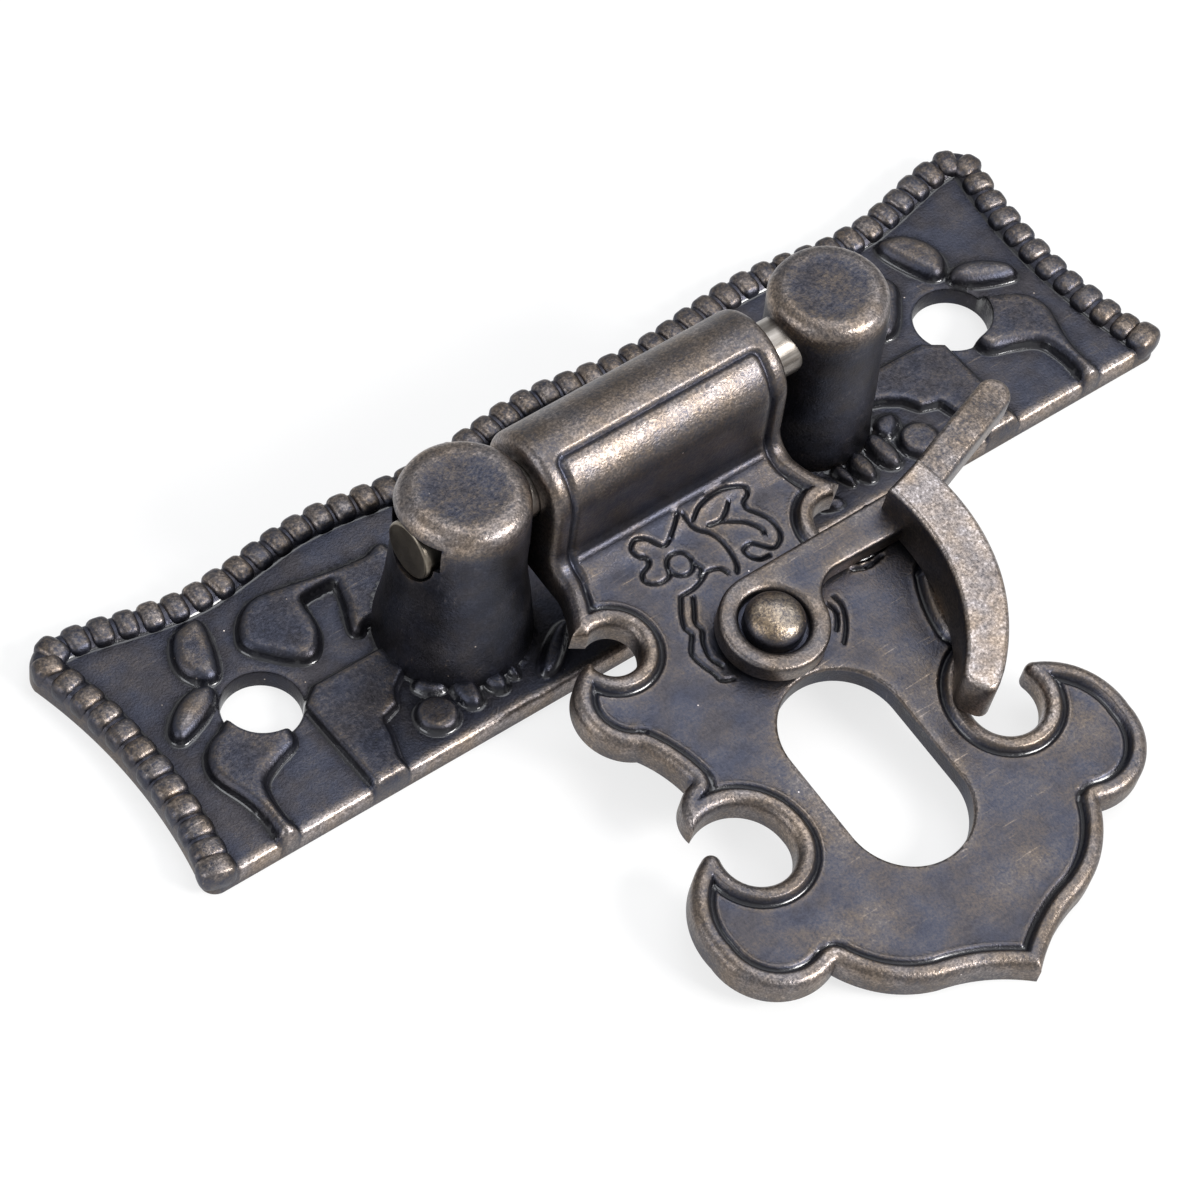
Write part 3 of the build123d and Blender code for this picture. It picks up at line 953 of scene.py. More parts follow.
@dataclass
class BasePlate:
    """The screw plate with its bead row, leaves and hinge posts."""

    half_length: float = 35.2
    front: float = -8.5
    back: float = 9.6
    thickness: float = 1.3
    end_hollow: float = 1.0
    wave: float = 8.3
    wave_height: float = 0.4
    corner_rise: float = 1.1
    corner_radius: float = 1.8
    front_radius: float = 0.9
    edge_radius: float = 0.42
    hole_x: float = 25.7
    hole_radius: float = 2.4
    bead_inset: float = 0.90
    bead_foot: float = 1.75
    end_bead: float = 1.14
    roll_height: float = 0.46
    roll_middle: float = 0.86
    roll_half: float = 0.9
    hole_round: float = 0.12
    fillet_width: float = 0.15
    fillet_height: float = 0.13
    post_x: float = 13.25
    post_y: float = -1.4
    post_top: float = 13.9
    # Of the left post, then of the right one.
    post_radius: tuple = (3.95, 3.65)
    post_foot: tuple = (4.75, 3.8)
    shoulder: float = 7.3
    crown_dip: float = 0.05
    unevenness: float = 0.006
    pin_z: float = 10.9
    bore: float = 1.98
    mouth_width: float = 4.6
    mouth_height: float = 2.0
    mouth_depth: float = 1.3

    @staticmethod
    def ornament() -> list[Leaf]:
        """Raised forms of the right half; the left half mirrors them."""
        panel = [(23.9, 10.0), (22.6, 9.1), (17.4, 9.1), (16.9, 11.0), (17.9, 11.4), (18.8, 12.0),
                 (19.4, 13.0), (20.6, 13.4), (20.9, 14.6), (21.4, 15.9), (21.5, 17.1), (23.9, 17.1)]
        bulb = [(13.2, 3.3), (14.8, 3.25), (17.0, 3.0), (19.5, 2.5), (21.0, 2.2), (22.0, 2.15),
                (23.0, 2.55), (23.9, 3.4), (24.4, 4.4), (24.2, 5.25), (23.6, 6.0), (23.0, 6.75),
                (22.25, 7.4), (21.5, 7.65), (20.75, 7.3), (20.05, 6.4), (19.75, 5.4), (19.6, 4.3),
                (19.3, 3.95), (17.6, 3.95), (17.45, 4.3), (17.9, 5.6), (18.6, 7.2), (18.2, 7.75),
                (17.2, 7.5), (16.2, 8.4), (13.2, 8.0)]
        upper = [(25.6, 1.45), (27.0, 1.65), (27.9, 2.6), (28.35, 3.75), (28.2, 4.8), (27.6, 5.55),
                 (26.95, 5.7), (26.4, 5.35), (25.85, 4.25), (25.45, 3.2), (25.2, 2.1)]
        lower = [(31.35, 7.75), (31.0, 8.25), (30.3, 8.15), (29.2, 7.75), (28.0, 7.1), (27.4, 6.35),
                 (27.6, 5.75), (28.5, 5.5), (29.5, 5.75), (30.4, 6.3), (31.15, 7.05)]
        comma = [(28.9, 8.75), (28.0, 8.3), (27.1, 9.3), (26.3, 10.2), (25.5, 10.7), (25.5, 11.5),
                 (25.95, 12.05), (27.0, 12.4), (28.0, 12.8), (28.7, 13.3), (29.0, 14.1), (29.15, 15.4),
                 (29.15, 17.2), (30.3, 17.2), (30.3, 15.0), (30.5, 13.5), (30.85, 12.3), (31.05, 11.25),
                 (30.85, 10.25), (30.25, 9.45), (29.5, 8.95)]
        disc = [(17.9 + 1.3 * math.cos(a), 14.75 + 1.3 * math.sin(a)) for a in np.linspace(0, 5.6, 9)]
        blob = [(17.9, 12.4), (17.2, 12.0), (16.3, 12.3), (16.0, 13.0), (16.5, 13.6), (17.5, 13.3)]
        first = [(15.9, 12.9), (15.2, 12.7), (14.75, 13.6), (14.9, 15.1), (15.6, 15.6), (16.2, 15.1),
                 (16.25, 13.9)]
        second = [(14.2, 13.4), (13.5, 13.2), (13.05, 14.0), (13.2, 15.2), (13.75, 15.6), (14.3, 15.1),
                  (14.4, 14.2)]
        third = [(12.6, 13.5), (12.1, 13.5), (12.0, 14.3), (12.4, 15.2), (12.8, 14.9), (12.85, 14.1)]
        spray = [(11.1, 16.0), (10.2, 15.9), (8.9, 15.0), (7.7, 13.7), (8.4, 13.5), (9.8, 14.3), (11.0, 15.3)]
        rounded = ((bulb, 0.76, 0.62, -0.06), (upper, 0.82, 0.78, 0.03), (lower, 0.82, 0.78, 0.04),
                   (comma, 0.80, 0.64, -0.02), (disc, 0.56, 0.44, 0.00), (blob, 0.45, 0.50, -0.06),
                   (first, 0.60, 0.56, -0.05), (second, 0.60, 0.50, -0.05), (third, 0.45, 0.36, -0.06),
                   (spray, 0.50, 0.50, -0.05))
        return [Leaf(panel, 0.60, 0.40, -0.06, flowing=False)] + [Leaf(*form) for form in rounded]

    def right_edge(self) -> Array:
        """Right half of the outline, from the middle of the back to the front corner."""
        side, r, nose = self.half_length, self.corner_radius, self.front_radius
        crest = self.back + self.corner_rise
        corner_x = side - r
        marks = [(i * self.wave, self.back + self.wave_height * (-1) ** i) for i in range(4)]
        before, after = (-marks[1][0], marks[1][1]), (2 * corner_x - marks[3][0], marks[3][1])
        wavy = flowing([before, *marks, (corner_x, crest), after], per_span=60)[60:-61]
        c, d = math.sqrt(0.5) * r, math.sqrt(0.5) * nose
        middle = (self.front + self.back) / 2
        low = self.front + nose
        corner = arc_through((corner_x, crest), (corner_x + c, crest - r + c), (side, crest - r))
        end = arc_through((side, crest - r), (side - self.end_hollow, middle), (side, low))
        foot = arc_through((side, low), (side - nose + d, low - d), (side - nose, self.front), 0.08)
        return np.vstack([wavy, corner, end, foot, [(side - nose, self.front)]])

    def build(self) -> Shell:
        """Shape the plate.

        Returns:
            The plate as one shell.
        """
        right = self.right_edge()
        left = right[::-1] * (-1, 1)
        reach, plain = self.half_length - self.front_radius, 10
        front = straight((reach, self.front), (-reach, self.front), 0.2)
        outline = np.vstack([right[1:-1], front, left[:-1]])
        beaded = np.vstack([left[plain:], right[:-plain]])
        ring = ring_of(self.hole_radius, 96)
        holes = [ring + (s * self.hole_x, 0.0) for s in (1, -1)]
        loops = [outline, *holes]
        edges = (0.02, 0.06, 0.12, 0.2, 0.3)
        rows = [beside(outline, edges + (self.edge_radius, 0.6, 0.8), True)]
        rows += [beside(hole, edges, True) for hole in holes]
        rows.append(beside(beaded, (1.6, 1.7, self.bead_foot, 1.79, 1.83, 1.87, 1.92, 2.0)))
        shapes = [(leaf, leaf.loop()) for leaf in self.ornament()]
        for leaf, loop in shapes:
            steps = tuple(leaf.round_over * k for k in (0.04, 0.14, 0.3, 0.55, 0.85))
            rows += [beside(loop * (turn, 1), (0.0, 0.05, 0.1, 0.15) + steps, True) for turn in (1, -1)]
        sheet = Sheet.lay(loops, rows, 0.24)
        height, polish, grit = self.surface(sheet.points, outline, beaded, holes, shapes)
        shell = Shell()
        top = shell.add(np.column_stack([sheet.points, height]), sheet.triangles, polish, grit)
        base = Sheet.lay(loops, [], 0)
        # Painted shade: the underside is a little darker and the lower rims of the screw holes are near
        # black, so the hole walls darken downwards.
        under = np.full(len(base.points), -0.12)
        under[np.concatenate(base.rims[1:])] = -0.55
        bottom = shell.add(np.column_stack([base.points, np.zeros(len(base.points))]), base.triangles, under)
        for rim, low in zip(sheet.rims, base.rims):
            shell.wall(rim + top, low + bottom)
        return shell

    def surface(self, p: Array, outline: Array, beaded: Array, holes: list[Array],
                shapes: list[tuple[Leaf, Array]]) -> Triple:
        """Height, polish and grit of the plate's upper face.

        Args:
            p: Points of the face.
            outline: Plate's edge.
            beaded: Stretch of the edge that has beads.
            holes: Screw holes.
            shapes: Leaves with their outlines.

        Returns:
            Heights, polish and grit, one of each per point.
        """
        from_edge = line_distance(p, outline, True)
        from_beads = line_distance(p, beaded)
        from_hole = np.min([line_distance(p, hole, True) for hole in holes], 0)
        folded = np.abs(p) * (1, 0) + p * (0, 1)
        rise = np.zeros(len(p))
        gully = np.full(len(p), 9.0)
        polish = np.full(len(p), 0.03)
        grit = np.full(len(p), 0.10)
        for leaf, loop in shapes:
            depth = depth_in(folded, [loop])
            lift = leaf.height * cushion(depth, leaf.round_over)
            side = 1.0 - smooth_step(0.3, 0.85, depth / leaf.round_over)
            polish = np.where(lift > rise, leaf.polish - 0.26 * side, polish)
            grit = np.where(lift > rise, 0.6 * (1.0 - side), grit)
            outside = np.maximum(-depth, 0.0)
            gully = np.minimum(gully, np.where(depth > 0, np.maximum(depth, 0.02), outside))
            rise = np.maximum(np.maximum(rise, lift), self.fillet(outside))
        for side, foot in zip(Side, self.post_foot):
            from_axis = np.hypot(p[:, 0] - side.value * self.post_x, p[:, 1] - self.post_y)
            outside = np.maximum(from_axis - foot, 0.0)
            gully = np.minimum(gully, outside)
            rise = np.maximum(rise, self.fillet(outside))

        off_roll = (from_beads - self.roll_middle) / self.roll_half
        roll = self.roll_height * np.sqrt(np.clip(1.0 - off_roll**2, 0.0, 1.0))
        rise = np.where(from_beads < 1.9, np.minimum(rise, 0.3), rise)
        rise = rise + np.maximum(roll, self.fillet(np.maximum(from_beads - self.bead_foot, 0.0)))
        for start, stop, away, goal in ((0.08, 0.17, gully, BLACKENED), (1.84, 1.94, from_beads, BLACKENED),
                                        (1.74, 1.79, from_beads, -0.12)):
            polish = polish + (goal - polish) * (1.0 - smooth_step(start, stop, away))
        # Painted shade: darker round the upper rims of the screw holes, leading into their walls.
        polish = polish - 0.5 * line_of(from_hole, 0.14)
        at_corner = np.linalg.norm(folded - (self.half_length - 0.5, self.front + 0.5), axis=1)
        worn_edge = self.edge_radius + 0.43 * smooth_step(1.8, 0.5, at_corner)
        height = self.thickness + rise
        height = height + edge_round(from_edge, worn_edge) + edge_round(from_hole, self.hole_round)
        at_front = (p[:, 1] < self.front + 0.9) & (from_beads > 1.9)
        front = np.where(at_front, line_of(from_edge - 0.25, 0.3), 0.0)
        return height, polish + 0.36 * front, grit + 0.5 * front

    def fillet(self, outside: Array) -> Array:
        """Height of the small fillet round the foot of a raised form."""
        return self.fillet_height * np.clip(1.0 - outside / self.fillet_width, 0.0, 1.0) ** 2

    def post(self, side: Side) -> Piece:
        """Turn one hinge post; the left one is open for the pin's end.

        Args:
            side: Which post.

        Returns:
            The post.
        """
        left = side is Side.LEFT
        order = 0 if left else 1
        radius, foot = self.post_radius[order], self.post_foot[order]
        z, top = self.thickness - 0.25, self.post_top
        if left:
            corners = [(0, z), (foot, z), (foot, z + 0.4), (radius, self.shoulder), (radius, top), (0, top)]
            radii = [0, 0, 0.3, 1.8, 1.3, 0]
        else:
            corners = [(0, z), (foot, z), (radius, z + 1.6), (radius, top), (0, top)]
            radii = [0, 0, 0.7, 1.2, 0]
        profile = rounded_profile(corners, radii, 9)
        fine = [straight(a, b, 0.35) for a, b in zip(profile, profile[1:])]
        points, faces = lathe(np.vstack([*fine, profile[-1:]]), 112)
        r, level = np.hypot(points[:, 0], points[:, 1]), points[:, 2].copy()
        crown = smooth_step(top - 2.8, top - 0.4, level)
        polish = -0.15 + 0.33 * crown - 0.10 * crown * smooth_step(2.75, 1.9, r)
        points[:, 2] -= self.crown_dip * (level > top - 1e-6) * smooth_step(2.8, 2.0, r)
        turn, level = np.arctan2(points[:, 1], points[:, 0]), points[:, 2]
        uneven = np.sin(3 * turn + 0.9 * level) + 0.7 * np.sin(5 * turn - 1.3 * level + side.value)
        points[:, :2] *= (1.0 + self.unevenness * uneven * smooth_step(z + 0.3, z + 2.0, level))[:, None]
        shell = Shell()
        shell.add(points + (side.value * self.post_x, self.post_y, 0.0), faces, polish, 0.2 + 0.5 * crown)
        made = shell.finish(f"post_{side.name.lower()}", 40.0)
        if left:
            self.open_end(made, radius)
        return made

    def open_end(self, post: Piece, radius: float) -> None:
        """Cut the mouth of the pin bore and the window above it into the open post."""
        half, bore = self.mouth_width / 2, self.bore
        rim = [(half, 0.0), (half, self.mouth_height), (-half, self.mouth_height), (-half, 0.0), (-bore, 0.0)]
        rim += [(bore * math.cos(a), bore * math.sin(a)) for a in np.linspace(-math.pi, 0.0, 40)[1:]]
        n = len(rim)
        face = -self.post_x - radius
        ends = (face - 1.0, face + self.mouth_depth)
        places = [(x, self.post_y + y, self.pin_z + z) for x in ends for y, z in rim]
        mouth = Shell()
        # Painted shade: the cut faces of the mouth and the window take this near-black value from the cutter.
        mouth.add(np.array(places), [list(range(n)), list(range(2 * n - 1, n - 1, -1))], -0.3)
        mouth.wall(np.arange(n), np.arange(n, 2 * n))
        cutter = mouth.finish("mouth")
        modifier = post.modifiers.new("mouth", "BOOLEAN")
        modifier.operation, modifier.solver, modifier.object = "DIFFERENCE", "EXACT", cutter
        post.data = applied(post)
        post.modifiers.clear()
        bpy.data.objects.remove(cutter)
        post.data.set_sharp_from_angle(angle=math.radians(40))
        store_wear(post.data)

    def beads(self, finish: Material) -> Piece:
        """Lay the bead row inside the back and the two ends, with a larger bead at each front corner."""
        edge = self.right_edge()
        front_corner = 12
        inner = beside(edge, (self.bead_inset,))[len(edge):]
        inner = np.vstack([inner[:-front_corner], [(self.half_length - 0.82, self.front + 0.7)]])
        row = BeadRow()
        corner = int(np.argmax(inner.sum(1)))
        along_back = even_steps(inner[: corner + 1], row.pitch, 0.0, 0.5)
        half = np.vstack([along_back, even_steps(inner[corner:], row.pitch, 0.5, 0.0)])
        line = np.vstack([half[::-1] * (-1, 1), half[1:]])
        sizes = np.ones(len(line))
        sizes[[0, -1]] = self.end_bead
        return row.lay(line, sizes, self.thickness - 0.08, finish)

    def dress(self, finish: Material) -> list[Piece]:
        """Make the plate's pieces and give them their finish.

        Args:
            finish: Material of the casting.

        Returns:
            The pieces.
        """
        pieces = [self.build().finish("base_casting", 46.0, 0.7), *(self.post(side) for side in Side)]
        return [dressed(piece, finish) for piece in pieces] + [self.beads(finish)]


@dataclass
class HaspLeaf:
    """The hasp: knuckle, neck and scrolled plate as one sheet bent along its side profile."""

    centre_x: float = -0.55
    pin_y: float = -1.4
    pin_z: float = 10.9
    half_neck: float = 8.5
    neck_foot: float = 5.0
    knuckle: float = 3.4
    bore: float = 1.88
    rim_drop: float = 3.68
    thickness: float = 1.8
    edge_radius: float = 0.62
    recess: float = 0.35
    groove_at: float = 1.26
    groove_depth: float = 0.11
    lip_at: float = 1.53
    lip_height: float = 0.055
    slot_round: float = 0.2
    panel_depth: float = 0.26
    crease_depth: float = 0.07
    cut_depth: float = 0.15
    burr_height: float = 0.06
    neck_bulge: float = 0.3
    fillet: float = 1.3
    reach: float = 38.9
    half_width: float = 15.2
    slot_radius: float = 3.9
    slot_near: float = 16.95
    slot_far: float = 30.45
    catch_at: float = 13.7
    panel_inset: float = 1.32
    panel_angle: float = 75.0
    creases: tuple = (4.32, 3.95)
    crease_half: float = 7.2
    # Rub marks as (across, station, width, length, strength).
    rubbed: tuple = ((-5.4, 24.0, 1.4, 3.6, 0.20), (-8.5, 31.5, 3.2, 2.0, 0.17), (2.4, 33.6, 4.0, 1.3, 0.13),
                     (10.8, 27.0, 2.6, 2.6, 0.17), (5.6, 21.5, 1.0, 3.0, 0.10))

    def placing(self) -> Placing:
        """Frame of the side profile: origin on the pin's axis, along towards the tip."""
        low = self.rim_drop + self.thickness
        slope = math.asin(self.pin_z / math.hypot(self.reach, low)) - math.atan2(low, self.reach)
        return Placing(
            np.array((self.centre_x, self.pin_y, self.pin_z)),
            np.array((1.0, 0.0, 0.0)),
            np.array((0.0, -math.cos(slope), -math.sin(slope))),
            np.array((0.0, -math.sin(slope), math.cos(slope))),
        )

    def profile(self) -> Triple:
        """Upper line of the side profile.

        Returns:
            Stations, points as (along, up), and outward normals. On the flat plate the station is
            the distance along it, and it goes on by the line's length up the neck and round the knuckle.
        """
        foot = self.knuckle + self.neck_bulge + self.fillet
        a = np.linspace(0, math.pi / 2, 24)
        fillet = np.stack([foot - self.fillet * np.sin(a), -self.rim_drop + self.fillet * (1 - np.cos(a))], 1)
        b = np.radians(np.linspace(4.0, 245.0, 150))
        barrel = self.knuckle * at_angles(b)
        line = np.vstack([[(self.reach + 1.0, -self.rim_drop)], fillet, barrel])
        length = run_along(line)
        station = foot + length[1] - length
        fine = np.linspace(station[-1], station[0], 3000)
        order = np.argsort(station)
        pts = np.stack([np.interp(fine, station[order], line[order, k]) for k in (0, 1)], 1)
        tangent = np.gradient(pts, axis=0)
        kernel = np.hanning(41) / np.hanning(41).sum()
        padded = np.pad(tangent, ((20, 20), (0, 0)), mode="edge")
        tangent = np.stack([np.convolve(padded[:, k], kernel, "valid") for k in (0, 1)], 1)
        tangent /= np.linalg.norm(tangent, axis=1, keepdims=True)
        normal = np.stack([-tangent[:, 1], tangent[:, 0]], 1)
        return fine, pts, normal

    def half_edge(self) -> Array:
        """Right half of the scrolled outline from the tip to the foot of the neck, as (across, along)."""

        def at(across: float, along: float) -> tuple:
            """Point as shares of the half width and the reach."""
            return (across * self.half_width, along * self.reach)

        arcs = [
            (0.151, 0.960, 0.336, 0.934), (0.546, 0.884, 0.638, 0.832), (0.888, 0.820, 1.000, 0.730),
            (0.954, 0.648, 0.803, 0.596), (0.757, 0.596, 0.743, 0.612), (0.592, 0.684, 0.451, 0.622),
            (0.533, 0.558, 0.757, 0.553), (0.737, 0.512, 0.645, 0.488), (0.668, 0.447, 0.717, 0.406),
            (0.836, 0.329, 0.678, 0.249), (0.655, 0.251, 0.655, 0.262), (0.447, 0.257, 0.592, 0.213),
        ]
        rows, last = [], at(0.0, 1.0)
        for over_x, over_y, end_x, end_y in arcs:
            rows.append(arc_through(last, at(over_x, over_y), at(end_x, end_y)))
            last = at(end_x, end_y)
        cusp = at(0.645, 0.200)
        rows.append(straight(last, cusp))
        rows.append(arc_through(cusp, (8.95, 6.45), (self.half_neck, self.neck_foot)))
        return np.vstack(rows)

    def flower(self) -> list[Array]:
        """Engraved lines of the flower spray on the field, as (across, along)."""
        strokes = [
            [(0.15, 4.55), (-0.55, 5.15), (-1.65, 5.8), (-2.35, 5.05), (-3.05, 4.7), (-3.6, 5.05),
             (-3.45, 5.6), (-3.05, 5.9), (-3.2, 6.3), (-3.9, 6.6), (-4.05, 7.15), (-3.45, 7.6),
             (-2.65, 7.55), (-2.35, 7.0)],
            [(-1.6 + 0.78 * math.cos(a), 7.2 + 0.78 * math.sin(a)) for a in np.linspace(0, 2 * math.pi, 13)],
            [(0.4, 4.8), (0.55, 5.75), (1.25, 6.6), (1.45, 7.7), (1.25, 8.9), (0.95, 9.35)],
            [(0.7, 5.35), (1.65, 4.8), (3.05, 4.6), (4.15, 4.85), (4.75, 5.2), (4.55, 5.6), (4.15, 5.8),
             (4.05, 6.3), (4.45, 6.9), (4.8, 7.7), (4.75, 8.5), (4.4, 9.0), (3.75, 9.2), (3.2, 8.65),
             (2.8, 8.25), (2.2, 8.35), (2.2, 8.9), (2.6, 9.4), (3.3, 9.5)],
            [(1.4, 6.0), (2.2, 6.1), (2.9, 5.75), (3.3, 5.4)],
            [(2.2, 6.15), (2.9, 6.6), (3.45, 7.0), (3.95, 7.8), (3.9, 8.15)],
            [(-0.85, 7.6), (-0.7, 8.1), (-1.1, 8.5), (-0.55, 8.4), (0.2, 8.65), (0.45, 9.1)],
            [(-0.55, 8.4), (-1.4, 8.8), (-2.1, 8.95), (-2.8, 8.95), (-3.05, 9.2), (-3.55, 9.9),
             (-3.95, 10.75), (-3.85, 11.3), (-4.3, 11.85), (-4.65, 12.4), (-4.55, 13.25), (-4.3, 14.05),
             (-4.2, 14.6), (-3.6, 14.9)],
            [(-2.3, 9.4), (-2.75, 10.1), (-3.2, 10.8), (-3.15, 11.4), (-3.6, 12.1), (-3.85, 13.1),
             (-3.55, 13.9)],
            [(4.8, 13.65), (4.85, 14.35), (4.45, 15.2), (3.9, 15.9), (3.35, 16.4)],
            [(4.2, 13.9), (4.25, 14.5), (3.9, 15.1), (3.5, 15.5)],
            [(6.9, 12.8), (7.8, 13.1), (8.9, 12.95)],
        ]
        return [flowing(s, per_span=5) for s in strokes]

    def build(self) -> Shell:
        """Shape the hasp.

        Returns:
            The hasp as one closed shell.
        """
        station, curve, normal = self.profile()
        w, start = self.half_neck, station[0]
        neck = straight((w, self.neck_foot), (w, start + 1e-6), 0.15)
        right = np.vstack([self.half_edge(), neck, [(w, start)]])
        left = right[::-1] * (-1, 1)
        outline = np.vstack([right, straight((w, start), (-w, start), 0.3)[1:], left[:-1]])
        edge_line = np.vstack([left, right[1:]])
        slot, flower = self.slot(), self.flower()
        crown = self.station_at(self.panel_angle, station, curve)
        panel = self.panel(crown)
        steps = (0.02, 0.06, 0.13, 0.22, 0.33, 0.46, 0.6, 0.75, 0.86, 0.94, 1.02, 1.1, 1.18,
                 self.groove_at, 1.34, 1.43, 1.52, 1.62, 1.75)
        rows = [beside(edge_line, steps), beside(slot, (0.03, 0.08, 0.15, 0.24), True),
                beside(panel, (0.0, 0.12, 0.24, 0.38))]
        rows += [beside(line, (0.0, 0.09, 0.18, 0.28)) for line in flower]
        crossing = np.linspace(-self.crease_half, self.crease_half, 120)
        for level in (3.8, 3.92, 4.05, 4.2, 4.32, 4.45):
            rows.append(np.stack([crossing, np.full(len(crossing), level)], 1))
        sheet = Sheet.lay([outline, slot], rows, 0.22)
        p = sheet.points
        rise, polish, grit = self.surface(p, edge_line, slot, panel, flower, crown)
        along, up, lean_along, lean_up = (
            np.interp(p[:, 1], station, values) for values in (*curve.T, *normal.T))
        place = self.placing()
        shell = Shell()
        upper = place.world(p[:, 0], along + lean_along * rise, up + lean_up * rise)
        top = shell.add(upper, sheet.triangles, polish, grit)
        self.underside(shell, place, outline, slot, sheet, top, curve[0])
        return shell

    def slot(self) -> Array:
        """Outline of the staple slot."""
        r = self.slot_radius
        near, far = self.slot_near + r, self.slot_far - r
        bow = r * at_angles(np.linspace(0, math.pi, 60))[:-1]
        return np.vstack(
            [bow + (0, far), straight((-r, far), (-r, near)), (0, near) - bow, straight((r, near), (r, far))])

    def panel(self, crown: float) -> Array:
        """Line cut round the knuckle's panel, with rounded upper corners."""
        x = self.half_neck - self.panel_inset
        right = np.vstack([
            straight((x, 6.4), (x, crown + 0.5)),
            arc_through((x, crown + 0.5), (x - 0.15, crown + 0.15), (x - 0.5, crown)),
            straight((x - 0.5, crown), (0, crown))])
        return np.vstack([right, right[::-1] * (-1, 1)])

    def station_at(self, angle: float, station: Array, curve: Array) -> float:
        """Station on the knuckle at an angle above the direction of the tip."""
        goal = self.knuckle * np.array((math.cos(math.radians(angle)), math.sin(math.radians(angle))))
        return float(station[np.argmin(np.linalg.norm(curve - goal, axis=1))])

    def surface(self, p: Array, edge_line: Array, slot: Array, panel: Array, flower: list[Array],
                crown: float) -> Triple:
        """Rise, polish and grit of the upper face.

        Args:
            p: Points as (across, station).
            edge_line: Outline without the knuckle's closing line.
            slot: Staple slot.
            panel: Line cut round the knuckle's panel.
            flower: Engraved lines.
            crown: Station of the panel line's upper run.

        Returns:
            Rise above the profile, polish and grit, one of each per point.
        """
        from_edge = line_distance(p, edge_line)
        from_slot = line_distance(p, slot, True)
        from_panel = line_distance(p, panel)
        station = p[:, 1]
        flat = smooth_step(4.6, 6.2, station)
        sunk = smooth_step(0.84, 1.18, from_edge)
        groove = flat * line_of(from_edge - self.groove_at, 0.12)
        lip = flat * line_of(from_edge - self.lip_at, 0.10)
        rise = edge_round(from_edge, self.edge_radius)
        rise = rise - self.recess * flat * sunk - self.groove_depth * groove + self.lip_height * lip
        rise = rise - (1.0 - flat) * self.panel_depth * line_of(from_panel, 0.21)
        rise = rise + edge_round(from_slot, self.slot_round)
        within = smooth_step(self.crease_half, self.crease_half - 0.3, np.abs(p[:, 0]))
        lower, upper = self.creases
        creases = line_of(station - lower, 0.09) + 0.7 * line_of(station - upper, 0.08)
        rise = rise - self.crease_depth * within * creases
        lines = np.min([line_distance(p, line) for line in flower], 0)
        clear = smooth_step(3.0, 3.5, np.hypot(p[:, 0], station - self.catch_at))
        cut = clear * line_of(lines, 0.10)
        burr = clear * line_of(lines - 0.23, 0.085)
        rise = rise - self.cut_depth * cut + self.burr_height * burr
        barrel = 1.0 - smooth_step(crown + 1.0, crown + 4.3, station)
        rim = flat * line_of(from_edge - 0.45, 0.36)
        rubs = np.zeros(len(p))
        for x, s, wide, long, strength in self.rubbed:
            patch = np.exp(-(((p[:, 0] - x) / wide) ** 2) - ((station - s) / long) ** 2)
            rubs = np.maximum(rubs, strength * patch)
        polish = 0.06 * flat + 0.22 * barrel + 0.20 * rim + 0.14 * (1.0 - flat) * (1.0 - barrel)
        # The rub marks are real wear; the dark line along the slot's rim is painted shade from its inner
        # wall.
        polish = polish + rubs - 0.12 * line_of(from_slot, 0.08)
        # Grooves and cut lines are blackened; the brighter rim lip and burrs are worn ridges plus painted
        # highlights.
        polish = polish - 0.40 * groove + 0.06 * lip - 0.30 * cut + 0.08 * burr
        grit = 0.12 + 0.4 * rim + 0.35 * barrel + 2.0 * rubs
        return rise, polish, grit

    def underside(self, shell: Shell, place: Placing, outline: Array, slot: Array, sheet: Sheet, top: int,
                  last: Array) -> None:
        """Close the hasp below: flat underside, neck hollow, side walls and bored ends.

        Args:
            shell: Shell to add to.
            place: Frame of the side profile.
            outline: Outline of the upper sheet.
            slot: Staple slot.
            sheet: Upper sheet.
            top: Index of the upper sheet's first point.
            last: Point where the knuckle's round ends below.
        """
        low = -self.rim_drop - self.thickness
        w, foot, heel, tail = self.half_neck, self.neck_foot, 0.5 * self.knuckle, 4.0
        near = 1e-6
        rim = sheet.rims[0] + top
        on_plate = outline[:, 1] >= foot - near
        plate = np.where(on_plate)[0]
        split = int(np.argmax(np.diff(plate))) + 1
        plate = np.concatenate([plate[split:], plate[:split]])
        under = np.vstack([
            outline[plate], straight((w, foot), (w, heel), 0.3)[1:], [(w, heel), (w, heel - tail)],
            [(-w, heel - tail), (-w, heel)], straight((-w, heel), (-w, foot), 0.3)[1:]])
        base = Sheet.lay([under, slot], [], 0)
        q = base.points
        share = np.clip((heel - q[:, 1]) / tail, 0.0, 1.0)
        along = np.where(q[:, 1] < heel, heel + (last[0] - heel) * share, q[:, 1])
        up = np.where(q[:, 1] < heel, low + (last[1] - low) * share, low)
        # Painted shade: the underside is a little darker and the slot's lower rim is near black, darkening
        # the slot's inner wall.
        below = np.full(len(q), -0.1)
        below[base.rims[1]] = -0.45
        bottom = shell.add(place.world(q[:, 0], along, up), base.triangles, below, 0.2)
        for i, (a, b) in enumerate(zip(rim[plate], rim[plate[1:]])):
            shell.faces.append([int(a), int(b), bottom + i + 1, bottom + i])
        # Painted shade: the ring half way down the slot's wall is near black.
        lip = shell.add(place.world(slot[:, 0], slot[:, 1], low + 0.6 * self.thickness), [], -0.5)
        band = np.arange(lip, lip + len(slot))
        shell.wall(sheet.rims[1] + top, band)
        shell.wall(band, base.rims[1] + bottom)
        points = np.vstack(shell.points)
        for turn in (1, -1):
            chain = np.where((outline[:, 0] * turn > w - near) & ~on_plate)[0][::turn]
            ends = rim[[plate[-1] if turn > 0 else plate[0], *chain]]
            at_side = (q[:, 0] * turn > w - near) & (q[:, 1] <= foot + near) & (q[:, 1] > heel - tail + near)
            lower = sorted(np.where(at_side)[0].tolist(), key=lambda i: q[i, 1])
            self.cap(shell, place, points, [int(i) for i in ends] + [bottom + i for i in lower])

